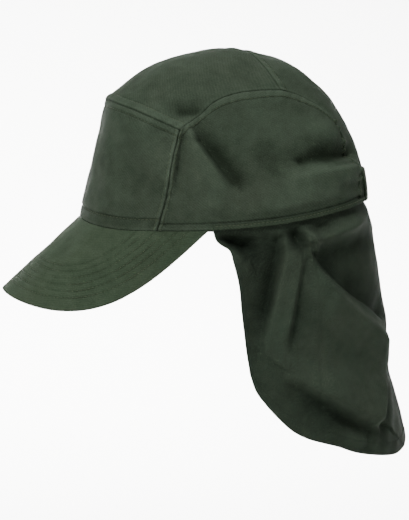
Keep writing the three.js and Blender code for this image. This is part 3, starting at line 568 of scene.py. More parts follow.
# Folds: where each runs, as shares of half the length and of the height; widths and rise in mm.
# A fold that goes down has its left side to the rear
crownFolds = [
    dict(start=(-0.378, 0.503), via=(-0.416, 0.361), end=(-0.452, 0.223),
         left=4.2, right=3.4, rise=2.2, power=2),  # roll beside the front seam
    dict(start=(-0.35, 0.5), via=(-0.375, 0.38), end=(-0.395, 0.25),
         left=4.0, right=2.2, rise=-3.0, power=1.6, ends=(0.9, 0.3)),  # pinch behind it
    dict(start=(-0.315, 0.565), via=(-0.189, 0.39), end=(-0.045, 0.2),
         left=3.4, right=9.0, rise=3.6, power=1.6, ends=(0.35, 0.4)),  # ridge from the front corner
    dict(start=(-0.225, 0.5), via=(-0.118, 0.386), end=(-0.005, 0.262),
         left=9.0, right=3.2, rise=-8.0, power=1.6, ends=(0.8, 0.85)),  # hollow behind the ridge
    dict(start=(-0.23, 0.36), via=(-0.15, 0.275), end=(-0.06, 0.19),
         left=3.2, right=4.0, rise=0.9, power=1.6),  # second ridge in front of it
    dict(start=(-0.209, 0.13), via=(-0.149, 0.136), end=(-0.082, 0.114),
         left=8.0, right=5.0, rise=2.2, power=2),  # puff above the rim
    dict(start=(0.174, 0.101), via=(0.437, 0.147), end=(0.81, 0.206),
         left=15.0, right=5.0, rise=3.0, power=2),  # roll over the binding
    dict(start=(0.40, 0.287), via=(0.639, 0.308), end=(0.871, 0.33),
         left=4.5, right=9.0, rise=4.6, power=1.7, ends=(0.5, 0.9)),  # rear ridge
    dict(start=(0.47, 0.385), via=(0.663, 0.398), end=(0.85, 0.405),
         left=8.5, right=3.6, rise=-6.6, power=1.7, ends=(0.6, 0.9)),  # rear hollow
    dict(start=(0.669, 0.339), via=(0.747, 0.348), end=(0.86, 0.356),
         left=1.6, right=1.6, rise=-1.7, power=1.6, ends=(0.3, 1.0)),  # crease on the rear ridge
    dict(start=(0.415, 0.36), via=(0.466, 0.372), end=(0.515, 0.38),
         left=2.6, right=2.0, rise=-2.6, power=1.8),  # small dent at its front end
    dict(start=(0.456, 0.559), via=(0.638, 0.533), end=(0.778, 0.484),
         left=10.0, right=10.0, rise=2.2, power=2),  # upper rear swell
    dict(start=(-0.4, 0.64), via=(-0.305, 0.652), end=(-0.17, 0.655),
         left=5.5, right=3.4, rise=-3.8, power=1.8),  # pit above the front corner
    dict(start=(-0.617, 0.676), via=(-0.477, 0.617), end=(-0.341, 0.58),
         left=4.5, right=4.5, rise=1.5, power=2),  # roll above the front seam
    dict(start=(-0.78, 0.42), via=(-0.677, 0.32), end=(-0.575, 0.2),
         left=12.0, right=12.0, rise=-1.3, power=2),  # soft dent of the front panel
    dict(start=(0.68, 0.215), via=(0.77, 0.22), end=(0.88, 0.225),
         left=5.0, right=5.0, rise=-1.6, power=2),  # hollow below the rear ridge
    dict(start=(0.1, 0.47), via=(0.22, 0.4), end=(0.34, 0.31),
         left=13.0, right=11.0, rise=-2.6, power=2),  # wide hollow in the middle of the side
    dict(start=(-0.33, 0.585), via=(-0.31, 0.56), end=(-0.3, 0.53),
         left=3.6, right=3.6, rise=1.0, power=2, ends=(1, 1)),  # bump at the front corner
    dict(start=(-0.217, 0.04), via=(-0.16, 0.05), end=(-0.1, 0.052),
         left=2.2, right=2.2, rise=-2.6, power=2),  # dark crease above the rim
]
rimTrim = {  # heights in mm, turns in degrees
    "bindingHeight": 4, "strapHeight": 22, "strapHalfTurn": 21.6, "bandHeight": 28,
    "peakGap": 1.3, "strapGap": 0.6, "farFolds": 0.6,
    "strapFade": (7, 2),  # the turns before the strap over which folds fade
    "overStrap": (1.2, 1.7), "overBand": (0.4, 1.25),  # where they come back, in heights of each
}


def sideOfCrown(along, up):  # the left side's point at shares of half the length and of the height
    y, z = along * crown["halfLength"], up * crown["height"] + crown["centreDrop"]
    inPlane = np.minimum(np.hypot(y, z) / profileRadius(np.arctan2(z, -y)), 1)
    x = crown["halfWidth"] * (1 - inPlane ** crown["squareness"]) ** (1 / crown["squareness"])
    return np.stack([x, y, z - crown["centreDrop"]], -1)


crownFoldLines = foldLines(crownFolds, sideOfCrown)


def crownFoldRise(points, outward):
    # folds start above the binding, fade under the strap and, where they go in, above the inner band
    turn = np.abs(turnOf(points))
    above = points[..., 2] - rimHeight(turn)
    free = ease(above - rimTrim["bindingHeight"], 0, 2 * rimTrim["bindingHeight"])
    toStrap = 180 - rimTrim["strapHalfTurn"] - turn
    underStrap = 1 - ease(toStrap, *rimTrim["strapFade"][::-1])
    underStrap *= 1 - ease(above / rimTrim["strapHeight"], *rimTrim["overStrap"])
    toLeft = np.abs(points) * [1, 0, 0] + points * [0, 1, 1]
    outLeft = np.abs(outward) * [1, 0, 0] + outward * [0, 1, 1]
    rise = foldRise(crownFolds, crownFoldLines, toLeft, outLeft)
    rise = rise * np.where(points[..., 0] > 0, 1, rimTrim["farFolds"])
    clearOfBand = ease(above / rimTrim["bandHeight"], *rimTrim["overBand"])
    return rise * free * (1 - underStrap) * np.where(rise < 0, clearOfBand, 1)


# Across a seam, in mm: where the strip rises, where it falls behind the stitches, how wide the turned
# edge and the groove are; the puckers' place and width are shares of the strip
seamShape = {
    "risesOver": (0.1, 1.3), "fallsOver": (-0.2, 1.4), "rollWidth": 0.4, "grooveWidth": 0.6,
    "puckerAt": 0.6, "puckerWidth": 0.7, "uneven": 1.4, "unevenPitch": 2.7,
}


def seamRelief(distance, along, style):
    # across a seam: the edge turns in, the doubled strip beside it stands up, the stitches pull a
    # groove at the strip's far side, and puckers cross the strip at uneven places
    stitch, pitch = style["stitch"], style["pitch"]
    shape = seamShape
    strip = ease(distance, *shape["risesOver"]) * (1 - ease(distance - stitch, *shape["fallsOver"]))
    uneven = shape["uneven"] * np.sin(2 * np.pi * along / (shape["unevenPitch"] * pitch))
    wave = np.sin(2 * np.pi * along / pitch + uneven)
    relief = style["raise"] * strip - style["roll"] * bell(distance, shape["rollWidth"])
    relief -= style["groove"] * bell(distance - stitch, shape["grooveWidth"])
    onStrip = bell(distance - shape["puckerAt"] * stitch, shape["puckerWidth"] * stitch)
    return relief + style["pucker"] * wave * onStrip


plainEdge = {"stitch": 3.5, "raise": 0.0, "roll": 0.3, "groove": 0.0, "pitch": 11, "pucker": 0.06}
overEdge = {"stitch": 6.3, "raise": 0.45, "roll": 0.45, "groove": 0.7, "pitch": 9, "pucker": 0.25}
frontSideEdge = overEdge | {"stitch": 3.6, "raise": 0.7}

# Panels: the border lines are bottom, top, left and right. On the front, top and back panel left is
# the line at -X, and on the side panels it is the front seam
panels = {
    "front_panel": {
        "borders": (rimBetween(-crown["frontTurn"], crown["frontTurn"]), frontTopLine,
                    mirrored(frontSideLine), frontSideLine),
        "grid": (170, 110), "cloth": crown["frontCloth"],
        "edges": {"top": overEdge | {"stitch": 4.6, "raise": 0.1, "pucker": 0.05},
                  "left": frontSideEdge, "right": frontSideEdge,
                  "bottom": overEdge | {"stitch": 8.4, "raise": -0.25, "roll": 0.5, "pucker": 0.0}},
        "stitched": ["top", "left", "right", "bottom"]},
    "top_panel": {
        "borders": (frontTopLine, crossLine, mirrored(topSideLine), topSideLine),
        "grid": (150, 130), "cloth": crown["cloth"],
        "edges": {"top": plainEdge, "left": plainEdge, "right": plainEdge, "bottom": overEdge},
        "stitched": ["bottom"]},
    "back_panel": {
        "borders": (rimBetween(360 - crown["backTurn"], crown["backTurn"]), crossLine,
                    mirrored(wholeBackLine), wholeBackLine),
        "grid": (120, 150), "cloth": crown["cloth"],
        "edges": {"top": overEdge | {"raise": 0.35, "stitch": 5.0}, "left": plainEdge, "right": plainEdge,
                  "bottom": plainEdge},
        "stitched": ["top"]},
    "side_panel_left": {
        "borders": (rimBetween(crown["frontTurn"], crown["backTurn"]), sideTopLine,
                    frontSideLine, backSideLine[::-1]),
        "grid": (190, 120), "cloth": crown["cloth"],
        "edges": {"top": overEdge, "left": overEdge | {"stitch": 3.4, "raise": 1.1, "pucker": 0.5},
                  "right": overEdge | {"stitch": 3.6, "raise": 0.4, "pucker": 1.5, "pitch": 7.5},
                  "bottom": overEdge | {"stitch": 5.0, "raise": 0.0, "groove": 0.7, "pucker": 0.0}},
        "stitched": ["top", "left", "right"]},
}
leftSide = panels["side_panel_left"]
rightBorders = tuple(mirrored(line) for line in leftSide["borders"])
panels["side_panel_right"] = leftSide | {"borders": rightBorders}
crownStitches = []


def addPanel(name, look):
    # a four-sided patch on the crown's surface, lifted by the folds and by the relief of its seams
    across, up = (fineAtEnds(count) for count in look["grid"])
    bottom, top, left, right = look["borders"]
    base = onCrown(gridBetween(bottom, top, left, right, across, up))
    outward = outwardAt(base)
    walked = {"left": runLength(base, 1), "bottom": runLength(base, 0)}
    walked["right"] = walked["left"][:, -1:] - walked["left"]
    walked["top"] = walked["bottom"][-1:] - walked["bottom"]
    lift = crownFoldRise(base, outward)
    swells = swellsOf(base, crown["swells"])
    relief = 0
    for border, style in look["edges"].items():
        along = walked["bottom"] if border in ("left", "right") else walked["left"]
        relief = relief + seamRelief(walked[border], along, style)
    inside = np.min([walked[border] for border in walked], axis=0)
    outer = base + outward * (lift + relief + swells * ease(inside, 0, crown["swellsFull"]))[..., None]
    inner = outer - outward * look["cloth"]
    # the cloth's tone at each point: painted highlight and painted shade from the folds' rise and the
    # seams' relief, paler along the panel's edges
    wear = crown["wear"]
    shadeAndWearTone = paintedFoldShade(lift, wear) + wear["seam"] * np.clip(relief, *wear["seamRange"])
    shadeAndWearTone = shadeAndWearTone + wear["edge"] * bell(inside - wear["edgeAt"], wear["edgeWidth"])
    piece = addWall(name + "_cloth", outer, inner, clothUv(base))
    finished(piece, "crown_cloth", np.concatenate([shadeAndWearTone, shadeAndWearTone]))
    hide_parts(name)
    for border in look["stitched"]:
        path, normals = lineBeside(outer, outward, border, look["edges"][border]["stitch"], (0.02, 0.98))
        crownStitches.append(stitchRow(path, normals))


for name, look in panels.items():
    addPanel(name, look)
addStitching("crown_stitching", crownStitches)
print("crown made")


# Peak: a stiff sheet that bends only round its curve. Each point of the rim is carried down the slope
# to an outer edge that is a rounded outline on the unrolled sheet: distance = length - reach
# + reach (1 - (girth / halfGirth)^a)^(1 / b)
peak = {  # mm, with the slope in degrees
    "length": 75.2, "slope": 42.5, "halfGirth": 109.6, "reach": 132, "tipRoundness": 2.42,
    "sideRoundness": 3.4, "thickness": 2.4, "grid": (230, 90), "swells": [(0.25, 30, 11)],
    "swellsOver": (2, 12),  # from the edge inwards
    "rows": [9.5, 14.6, 19.7, 24.8, 29.9, 35.0], "groove": 0.16, "rowWidth": 0.55,
    "rowsFromRim": 1.5, "rowMiss": 0.4,  # a row stops near the rim, and where it leaves its distance
    # paler along the edge, and painted shade in the stitch rows' grooves
    "wear": {"edge": 0.1, "edgeWidth": 2.2, "rows": 0.3},
}
slope = math.radians(peak["slope"])
downSlope = np.array([0, -math.cos(slope), -math.sin(slope)])
rimTurnsOfPeak = np.linspace(0, 90, 721)
rimOfPeak = byRim(rimTurnsOfPeak, 0, -crown["gap"] / 2)
rimAlong = (rimOfPeak - rimOfPeak[0]) @ downSlope
sectionOfPeak = rimOfPeak - rimAlong[:, None] * downSlope
rimGirth = np.concatenate([[0], np.cumsum(np.linalg.norm(np.diff(sectionOfPeak, axis=0), axis=1))])


def peakEdge(girth):  # how far down the slope the outer edge lies
    share = np.minimum(np.abs(girth) / peak["halfGirth"], 1)
    fall = (1 - share ** peak["tipRoundness"]) ** (1 / peak["sideRoundness"])
    return peak["length"] - peak["reach"] + peak["reach"] * fall


def peakPlace(girth, along):  # the sheet's point at a girth round its curve and so far down the slope
    section = np.stack([np.interp(np.abs(girth), rimGirth, sectionOfPeak[:, k]) for k in range(3)], -1)
    section[..., 0] *= np.sign(girth) + (girth == 0)
    return section + np.asarray(along)[..., None] * downSlope


def peakUp(girth):  # square to the sheet, towards its upper side
    aside = peakPlace(girth + 0.6, 0 * girth) - peakPlace(girth - 0.6, 0 * girth)
    return unit(np.cross(aside, np.broadcast_to(downSlope, aside.shape)) * -1)


edgeGirths = peak["halfGirth"] * np.sin(np.linspace(-np.pi / 2, np.pi / 2, 901))
edgeOutline = np.stack([edgeGirths, peakEdge(edgeGirths)], -1)


def fromPeakEdge(girth, along, stride=4):
    # the distance on the unrolled sheet to the nearest of the outer edge's straight stretches
    flat = np.stack([girth, along], -1).reshape(-1, 2)
    nearest = np.full(len(flat), np.inf)
    for start in range(0, len(edgeOutline) - 1, stride):
        a = edgeOutline[start]
        run = edgeOutline[min(start + stride, len(edgeOutline) - 1)] - a
        share = np.clip(((flat - a) @ run) / (run @ run), 0, 1)
        nearest = np.minimum(nearest, np.linalg.norm(flat - a - share[:, None] * run, axis=1))
    return nearest.reshape(np.shape(girth))


def addPeak():
    # two sheets, half the thickness from the middle one, that meet at the edge in a quarter round:
    # half (1 - (1 - distance / half)^2)^(1/2); the stitch rows are shallow grooves
    across, out = (fineAtEnds(count, 0.8) for count in peak["grid"])
    girth = peak["halfGirth"] * np.sin((across * 2 - 1) * np.pi / 2)
    start = np.interp(np.abs(girth), rimGirth, rimAlong)
    along = start + (peakEdge(girth) - start) * out[:, None]
    girth = np.broadcast_to(girth, along.shape)
    up = peakUp(girth)
    edge = fromPeakEdge(girth, along)
    half = peak["thickness"] / 2
    rounding = np.sqrt(np.clip(1 - (1 - np.minimum(edge / half, 1)) ** 2, 0.03, 1))
    rows = sum(bell(edge - row, peak["rowWidth"]) for row in peak["rows"])
    base = peakPlace(girth, along)
    swells = swellsOf(base, peak["swells"]) * ease(edge, *peak["swellsOver"])
    quilt = peak["groove"] * rows * ease(along - start, 0, 2)
    top = base - up * (half - half * rounding + quilt)[..., None] + up * swells[..., None]
    under = base - up * (half + half * rounding - quilt)[..., None] + up * swells[..., None]
    # paler along the edge, and painted shade in the stitch rows' grooves
    wear = peak["wear"]
    shadeAndWearTone = wear["edge"] * bell(edge, wear["edgeWidth"]) - wear["rows"] * rows
    walked = np.stack([girth, along], -1)
    piece = addWall("peak_cloth", top, under, walked)
    finished(piece, "peak_cloth", np.concatenate([shadeAndWearTone, shadeAndWearTone]))
    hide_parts("peak")

    # rows of stitches beside the outer edge, on the upper and the under side
    tangent = unit(np.gradient(edgeOutline, axis=0))
    inward = np.stack([tangent[:, 1], -tangent[:, 0]], -1)
    stitches = []
    for row in peak["rows"]:
        line = edgeOutline + inward * row
        inside = line[:, 1] > np.interp(np.abs(line[:, 0]), rimGirth, rimAlong) + peak["rowsFromRim"]
        miss = np.abs(fromPeakEdge(line[:, 0], line[:, 1]) - row)
        line = line[inside & (miss < peak["rowMiss"])]
        normals = peakUp(line[:, 0])
        path = peakPlace(line[:, 0], line[:, 1])
        stitches.append(stitchRow(path - normals * peak["groove"], normals))
        stitches.append(stitchRow(path - normals * (peak["thickness"] - peak["groove"]), -normals))
    addStitching("peak_stitching", stitches)


addPeak()
peakEndTurn = float(np.interp(peak["halfGirth"], rimGirth, rimTurnsOfPeak))
print("peak made")


# Rim trim: bands that follow the rim at a distance inside or outside the crown's surface, in mm
trim = {
    "bottom": 0.15, "groove": 0.2, "rowWidth": 0.5, "lean": 0, "stitchedSides": [1],
    "rimPerTurn": 1.6,  # mm of rim to a degree
    # a little paler all over, darker towards the edges, and painted shade in the stitch rows' grooves
    "wear": {"all": 0.08, "edge": 0.35, "edgeWidth": 0.5, "rows": 0.2},
}
binding = trim | {
    "height": 3.7, "thickness": 1.0, "inside": -1.3, "rows": [2.5], "grid": (260, 14)}
strap = trim | {
    "height": rimTrim["strapHeight"], "thickness": 1.8, "inside": -2.1, "rows": [2.4, 19.6],
    "grid": (120, 50)}
band = trim | {
    "bottom": -0.8, "height": rimTrim["bandHeight"] + 1, "thickness": 1.2, "lean": 2.5, "inside": 3.0,
    "rows": [3.0, 26.0], "grid": (400, 34), "stitchedSides": [-1]}


def addBand(name, node, look, start, end, ring=False):
    # from one turn to another; its thickness rounds off towards its edges: t (1 - (1 - d / t)^2)^(1/2)
    turns = np.linspace(start, end, look["grid"][0], endpoint=not ring)
    up = fineAtEnds(look["grid"][1], 0.8)
    height, thickness = look["height"], look["thickness"]
    fromEdge = np.minimum(up, 1 - up) * height
    if not ring:
        ends = np.minimum(turns - turns[0], turns[-1] - turns) * look["rimPerTurn"]
        fromEdge = np.minimum(fromEdge[:, None], ends[None])
    else:
        fromEdge = np.broadcast_to(fromEdge[:, None], (len(up), len(turns)))
    half = thickness / 2
    rounding = half * np.sqrt(np.clip(1 - (1 - np.minimum(fromEdge / half, 1)) ** 2, 0.05, 1))
    turnGrid = np.broadcast_to(turns, (len(up), len(turns)))
    above = np.broadcast_to(look["bottom"] + height * up[:, None], turnGrid.shape)
    inside = look["inside"] + look["lean"] * up[:, None] + half
    rowsOf = sum(bell(above - look["bottom"] - row, look["rowWidth"]) for row in look["rows"])
    grooves = rowsOf * look["groove"]
    outer = byRim(turnGrid, above, inside - rounding + grooves)
    inner = byRim(turnGrid, above, inside + rounding)
    # a little paler all over, darker towards the edges, and painted shade in the stitch rows' grooves
    wear = look["wear"]
    shadeAndWearTone = wear["all"] - wear["edge"] * bell(fromEdge, wear["edgeWidth"]) - wear["rows"] * grooves
    piece = addWall(name, outer, inner, clothUv(outer), ring)
    finished(piece, "trim_cloth", np.concatenate([shadeAndWearTone, shadeAndWearTone]))
    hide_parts(node)
    stitches = []
    for row in look["rows"]:
        k = int(np.argmin(np.abs(up * height - row)))
        for side in look["stitchedSides"]:
            grid = outer if side > 0 else inner
            path = np.concatenate([grid[k], grid[k, :1]]) if ring else grid[k, 3:-3]
            normals = outwardAt(path) * side
            stitches.append(stitchRow(path, normals))
    return stitches


strapStart, strapEnd = 180 - rimTrim["strapHalfTurn"], 180 + rimTrim["strapHalfTurn"]
bindingStart, bindingEnd = peakEndTurn + rimTrim["peakGap"], strapStart - rimTrim["strapGap"]
trimStitches = addBand("rim_binding_left_tape", "rim_binding_left", binding, bindingStart, bindingEnd)
trimStitches += addBand("rim_binding_right_tape", "rim_binding_right", binding,
                        360 - bindingEnd, 360 - bindingStart)
trimStitches += addBand("adjuster_strap_tape", "adjuster_strap", strap, strapStart, strapEnd)
trimStitches += addBand("sweatband_tape", "sweatband", band, 0, 360, ring=True)
addStitching("trim_stitching", trimStitches)
print("rim trim made")


# Neck flap: the space between its sewn edge, front edge, hem and the line down the middle of its back.
# Places are shares of half the hem's width, of the spread to the back and of the drop.
flap = {
    "drop": 160.5, "spread": 133, "halfWidth": 80, "cloth": 1.0, "slack": 0.1, "startTurn": 81,
    "sewnBelow": 1, "tuck": 5, "tuckSteps": (1, 0.6, 0.2), "grid": (150, 150),
    "farSweep": 17.5, "sweepFrom": 0.13, "farFolds": 0.6, "meetFrom": 18 / 22,
    "foldsFrom": 1 / 16, "swellsFrom": 0.08,  # shares of the way down at which they are full
    "hem": 9.0, "hemRaise": 0.35, "hemGroove": 0.25, "grooveWidth": 0.7,
    "hemRises": (0.1, 1.0), "hemFalls": (-0.2, 1.2),  # at the edge and behind the stitches
    "flat": (400, 200),  # the longest runs round and down, with the turned edges
    # the tone that follows the folds: painted highlight on fold ridges and painted shade in fold hollows
    "swells": [(0.8, 46, 21), (0.25, 17, 23)], "wear": {"fold": 0.065, "least": -0.42, "most": 0.3},
    "frontEdge": [(0.99, -0.102, 0.048), (0.988, -0.038, 0.084), (0.981, -0.017, 0.133),
                  (0.975, 0.016, 0.242), (0.975, 0.03, 0.349), (0.963, 0.059, 0.543)],
    "corner": [(0.956, 0.074, 0.622)],
    "hemLine": [(0.95, 0.107, 0.7), (0.963, 0.157, 0.757), (0.988, 0.244, 0.835), (1, 0.306, 0.878),
                (1, 0.383, 0.909), (0.956, 0.539, 0.946), (0.875, 0.642, 0.978), (0.725, 0.767, 1.003),
                (0.5, 0.882, 1.018), (0.275, 0.951, 1.012)],
    "hemBack": [(0, 0.996, 0.988)],
    "backLine": [(0, 0.776, -0.06), (0, 0.798, 0.002), (0, 0.825, 0.135), (0, 0.853, 0.27),
                 (0, 0.881, 0.402), (0, 0.888, 0.511), (0, 0.9, 0.648), (0, 0.938, 0.76),
                 (0, 0.974, 0.878)],
}

# Folds of one side: places are shares of the way round from the front edge to the middle of the back,
# and of the way down; widths and rise in mm
flapFolds = [
    dict(start=(0, 0.01), via=(0.012, 0.165), end=(0.075, 0.235),
         left=4.2, right=3.4, rise=4.6, power=1.8, ends=(0.5, 0.5)),  # turned front edge
    dict(start=(0.045, 0.03), via=(0.078, 0.1), end=(0.092, 0.19),
         left=10.0, right=4.0, rise=-10.5, power=1.8, ends=(0.8, 0.5)),  # pocket behind it
    dict(start=(0.235, 0.02), via=(0.255, 0.035), end=(0.265, 0.07),
         left=5.5, right=5.0, rise=3.6, power=2, ends=(0.3, 0.3)),  # puff under the rim
    dict(start=(0.268, 0.06), via=(0.177, 0.37), end=(0.108, 0.7),
         left=3.0, right=11.0, rise=-7.6, power=1.4, ends=(0.8, 0.35)),  # long front crease
    dict(start=(0.288, 0.085), via=(0.206, 0.348), end=(0.142, 0.64),
         left=7.0, right=2.6, rise=4.8, power=1.5, ends=(0.7, 0.4)),  # ridge beside the crease
    dict(start=(0.352, 0.02), via=(0.362, 0.07), end=(0.365, 0.115),
         left=3.4, right=6.5, rise=-9.5, power=1.8, ends=(0.9, 0.6)),  # notch under the rim
    dict(start=(0.388, 0.04), via=(0.403, 0.09), end=(0.406, 0.13),
         left=4.6, right=3.0, rise=8.0, power=1.8, ends=(0.8, 0.8)),  # pleat beside the notch
    dict(start=(0.348, 0.2), via=(0.297, 0.43), end=(0.273, 0.62),
         left=8.0, right=3.0, rise=-4.2, power=1.5, ends=(0.7, 0.3)),  # second crease
    dict(start=(0.322, 0.208), via=(0.27, 0.435), end=(0.243, 0.625),
         left=3.2, right=9.0, rise=3.6, power=1.5, ends=(0.6, 0.3)),  # ridge beside it
    dict(start=(0.405, 0.1), via=(0.56, 0.08), end=(0.82, 0.055),
         left=7.0, right=4.5, rise=6.0, power=1.7, ends=(0.9, 0.1)),  # rear swag
    dict(start=(0.44, 0.17), via=(0.6, 0.15), end=(0.86, 0.13),
         left=6.0, right=12.0, rise=-3.0, power=2, ends=(0.3, 0.3)),  # hollow below the swag
    dict(start=(0.432, 0.03), via=(0.482, 0.03), end=(0.54, 0.03),
         left=4.5, right=4.5, rise=-4.0, power=2, ends=(0.3, 0.3)),  # dent above the swag
    dict(start=(0.4, 0.145), via=(0.51, 0.29), end=(0.81, 0.45),
         left=11.0, right=3.0, rise=-6.0, power=1.5, ends=(0.8, 0.9)),  # fold line of the sash
    dict(start=(0.388, 0.2), via=(0.488, 0.372), end=(0.74, 0.53),
         left=8.0, right=17.0, rise=9.0, power=1.7, ends=(0.6, 0.9)),  # sash
    dict(start=(0.285, 0.722), via=(0.46, 0.785), end=(0.645, 0.85),
         left=24.0, right=5.5, rise=7.5, power=1.6, ends=(0.4, 0.8)),  # low ridge
    dict(start=(0.31, 0.787), via=(0.45, 0.852), end=(0.593, 0.895),
         left=5.5, right=9.0, rise=-7.0, power=1.8, ends=(0.6, 0.8)),  # hollow under the low ridge
    dict(start=(0.77, 0.66), via=(0.7, 0.765), end=(0.647, 0.85),
         left=4.5, right=14.0, rise=5.0, power=1.6, ends=(0.5, 0.8)),  # rear fold
    dict(start=(0.81, 0.69), via=(0.74, 0.79), end=(0.69, 0.87),
         left=7.0, right=4.0, rise=-5.0, power=1.7, ends=(0.5, 0.6)),  # hollow behind it
    dict(start=(0.482, 0.932), via=(0.545, 0.938), end=(0.62, 0.945),
         left=7.0, right=5.0, rise=4.6, power=2, ends=(0.5, 0.5)),  # swell above the hem
]


def flapPlaces(name):  # a border's points in mm
    return np.array(flap[name]) * [flap["halfWidth"], flap["spread"], -flap["drop"]]


def borderThrough(*stops):  # one smooth line through several runs of points
    return smoothLine(np.concatenate(stops))


def addFlap():
    # one side is a blend of its four border lines; the other is its mirror image with shallower folds,
    # swept back at its front edge. Each point moves outwards by folds, swells and hem
    countAround, countDown = flap["grid"]
    around, down = np.linspace(0, 1, countAround), fineAtEnds(countDown, 0.75)
    inside = crown["cloth"] + flap["slack"] + crown["gap"]
    sewnTurns = np.linspace(flap["startTurn"], 180, linePoints)
    sewnEdge = byRim(sewnTurns, -flap["sewnBelow"], inside)
    corner, hemBack = flapPlaces("corner"), flapPlaces("hemBack")
    frontEdge = borderThrough(sewnEdge[:1], flapPlaces("frontEdge"), corner)
    backLine = borderThrough(sewnEdge[-1:], flapPlaces("backLine"), hemBack)
    hem = borderThrough(corner, flapPlaces("hemLine"), hemBack)
    half = gridBetween(sewnEdge, hem, frontEdge, backLine, around, down)
    aside = np.gradient(half, axis=1)
    aside[:, -1] = [-1, 0, 0]
    outward = unit(np.cross(np.gradient(half, axis=0), aside))

    def placeOn(shareRound, shareDown):  # reads the grid between its points, as a blend of four
        i = np.interp(shareRound, around, np.arange(countAround))
        j = np.interp(shareDown, down, np.arange(countDown))
        i0, j0 = np.minimum(i.astype(int), countAround - 2), np.minimum(j.astype(int), countDown - 2)
        u, v = (i - i0)[:, None], (j - j0)[:, None]
        upper = half[j0, i0] * (1 - u) + half[j0, i0 + 1] * u
        lower = half[j0 + 1, i0] * (1 - u) + half[j0 + 1, i0 + 1] * u
        return upper * (1 - v) + lower * v

    rise = foldRise(flapFolds, foldLines(flapFolds, placeOn), half, outward)
    rise = rise * ease(down, 0, flap["foldsFrom"])[:, None]
    far, meeting = flap["farFolds"], 0.5 * ease(around, flap["meetFrom"], 1)
    share = {"left": 1 - meeting * (1 - far), "right": far + meeting * (1 - far)}
    walkedDown = runLength(half, 0)
    fromHem = walkedDown[-1:] - walkedDown
    pastStitches = fromHem - flap["hem"]
    doubled = ease(fromHem, *flap["hemRises"]) * (1 - ease(pastStitches, *flap["hemFalls"]))
    hemRelief = flap["hemRaise"] * doubled - flap["hemGroove"] * bell(pastStitches, flap["grooveWidth"])
    quiet = ease(down, 0.0, flap["swellsFrom"])[:, None]
    sides = {}
    for side, flip in (("left", 1), ("right", -1)):
        base, direction = half * [flip, 1, 1], outward * [flip, 1, 1]
        lift = rise * share[side]
        swells = swellsOf(base, flap["swells"])
        surface = base + direction * (lift + swells * quiet + hemRelief)[..., None]
        if side == "right":
            sweep = flap["farSweep"] * (1 - around) * ease(down, 0, flap["sweepFrom"])[:, None]
            surface = surface + sweep[..., None] * np.array([0, 1, 0])
        sides[side] = (surface, direction, lift)

    # the sewn edge runs on up inside the crown in three steps
    turns = np.interp(stationsOn(sewnEdge, around)[:, 1], sewnEdge[:, 1], sewnTurns)
    tuck = np.stack([byRim(turns, step * flap["tuck"], inside) for step in flap["tuckSteps"]])
    tuckOut = outwardAt(tuck)

    def whole(left, right):  # both sides as one grid, from the left front edge round to the right one
        return np.concatenate([left, right[:, -2::-1]], axis=1)

    surface, direction, lift = (whole(*pair) for pair in zip(sides["left"], sides["right"]))
    outer = np.concatenate([whole(tuck, mirrored(tuck)), surface])
    direction = np.concatenate([whole(tuckOut, mirrored(tuckOut)), direction])
    lift = np.concatenate([np.zeros((len(tuck), outer.shape[1])), lift])
    # painted highlight on fold ridges and painted shade in fold hollows
    shadeAndWearTone = paintedFoldShade(lift, flap["wear"])
    piece = addWall("neck_flap_cloth", outer, outer - direction * flap["cloth"], clothUv(outer))
    finished(piece, "flap_cloth", np.concatenate([shadeAndWearTone, shadeAndWearTone]))
    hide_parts("neck_flap")
    path, normals = lineBeside(outer[len(tuck):], direction[len(tuck):], "top", flap["hem"], (0.03, 0.97))
    stitches = [stitchRow(path, normals), stitchRow(path - normals * flap["cloth"], -normals)]
    addStitching("flap_stitching", stitches, "flap_cloth")


addFlap()
print("neck flap made")


# Studio: a pale floor that rises behind into a pale wall, a lamp in front, one above and one for the
# wall, and even light from all sides; lengths in metres, power in watts
studio = {
    "floor": -0.55, "halfWidth": 9.0, "front": 3.5, "wall": 2.6, "bend": 1.2, "height": 5.0,
    "pale": (0.9, 0.9, 0.89), "light": 0.55,
    "lamps": {
        "key": {"place": (1.9, -1.0, 2.5), "aim": (0, 0, 0), "size": 0.7, "power": 112, "spread": 180},
        "top": {"place": (0.1, -0.2, 2.3), "aim": (0, 0, 0), "size": 0.9, "power": 20, "spread": 180},
        "backdrop": {"place": (-1.6, 0, 2.6), "aim": (-3.0, 0, -0.4), "size": 3.0, "power": 420,
                     "spread": 80},
    },
}


def addFloor():
    # height = 0 up to the wall, then a quarter circle and the wall
    bend, wall = studio["bend"], -studio["wall"]
    across = np.linspace(-studio["halfWidth"], studio["halfWidth"], 24)
    angles = np.linspace(0, np.pi / 2, 20)[1:]
    profile = [(studio["front"], 0), (0.0, 0), (wall, 0)]
    profile += [(wall - bend * math.sin(angle), bend - bend * math.cos(angle)) for angle in angles]
    profile += [(wall - bend, studio["height"])]
    back, up = (np.array(profile)[:, k, None] for k in (0, 1))
    points = np.stack(np.broadcast_arrays(back, across, up + studio["floor"]), -1)
    rows, columns = points.shape[:2]
    index = np.arange(rows * columns).reshape(rows, columns)
    faces = np.stack([index[:-1, :-1], index[:-1, 1:], index[1:, 1:], index[1:, :-1]], -1).reshape(-1, 4)
    floor = addMesh("floor", points.reshape(-1, 3) / mm, faces)
    material = bpy.data.materials.new("pale_paper")
    material.use_nodes = True
    shader = material.node_tree.nodes["Principled BSDF"]
    shader.inputs["Base Color"].default_value = colour(*studio["pale"])
    shader.inputs["Roughness"].default_value = 0.9
    floor.data.materials.append(material)


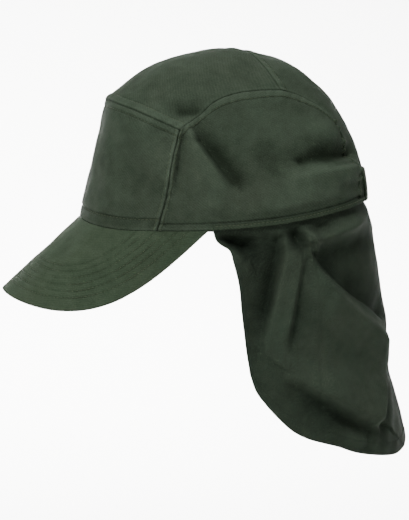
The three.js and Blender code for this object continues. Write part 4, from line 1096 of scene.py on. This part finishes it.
def addLamp(name, look):  # a square lamp that shines from its place towards its aim
    lamp = bpy.data.lights.new(name, "AREA")
    lamp.shape, lamp.size = "SQUARE", look["size"]
    lamp.energy, lamp.spread = look["power"], math.radians(look["spread"])
    holder = bpy.data.objects.new(name, lamp)
    holder.matrix_world = facing(np.array(look["place"], float), np.array(look["aim"], float))
    bpy.context.collection.objects.link(holder)


def facing(place, aim):  # a place and the turn that points -Z at the aim, with +Y up
    back = unit(place - aim)
    right = unit(np.cross([0, 0, 1], back))
    turned = np.eye(4)
    turned[:3, :3] = np.stack([right, np.cross(back, right), back], -1)
    turned[:3, 3] = place
    return Matrix(turned.tolist())


# Camera: from the wearer's left and a little in front, a little above. Frame and origin are in the
# photo's pixels, a pixel and the distance in mm
view = {
    "azimuth": 84.0, "elevation": 5.0, "distance": 2000.0, "pixel": 0.715,
    "frame": (409, 520), "originAt": (223.5, 222.0), "sensor": 36,
}


def addCamera():
    # looks at the point of the origin's plane that lies in the middle of the frame; its lens is the
    # sensor times the distance over the frame's height
    a, e = math.radians(view["azimuth"]), math.radians(view["elevation"])
    back = np.array([math.sin(a) * math.cos(e), -math.cos(a) * math.cos(e), math.sin(e)])
    right = np.array([math.cos(a), math.sin(a), 0])
    up = np.cross(back, right)
    width, height = view["frame"]
    fromLeft, fromTop = view["originAt"]
    offset = ((width / 2 - fromLeft) * right + (fromTop - height / 2) * up) * view["pixel"]
    camera = bpy.data.cameras.new("camera")
    camera.sensor_fit, camera.sensor_width = "AUTO", view["sensor"]
    camera.lens = view["sensor"] * view["distance"] / (height * view["pixel"])
    camera.clip_start, camera.clip_end = 0.1, 50
    holder = bpy.data.objects.new("camera", camera)
    holder.matrix_world = facing((offset + back * view["distance"]) * mm, offset * mm)
    bpy.context.collection.objects.link(holder)
    bpy.context.scene.camera = holder


def addWorld():  # even white light from all sides
    world = bpy.data.worlds.new("studio")
    world.use_nodes = True
    background = world.node_tree.nodes["Background"]
    background.inputs["Color"].default_value = colour(1.0, 1.0, 1.0)
    background.inputs["Strength"].default_value = studio["light"]
    bpy.context.scene.world = world


addFloor()
addWorld()
for name, look in studio["lamps"].items():
    addLamp(name, look)
addCamera()
print("studio made")
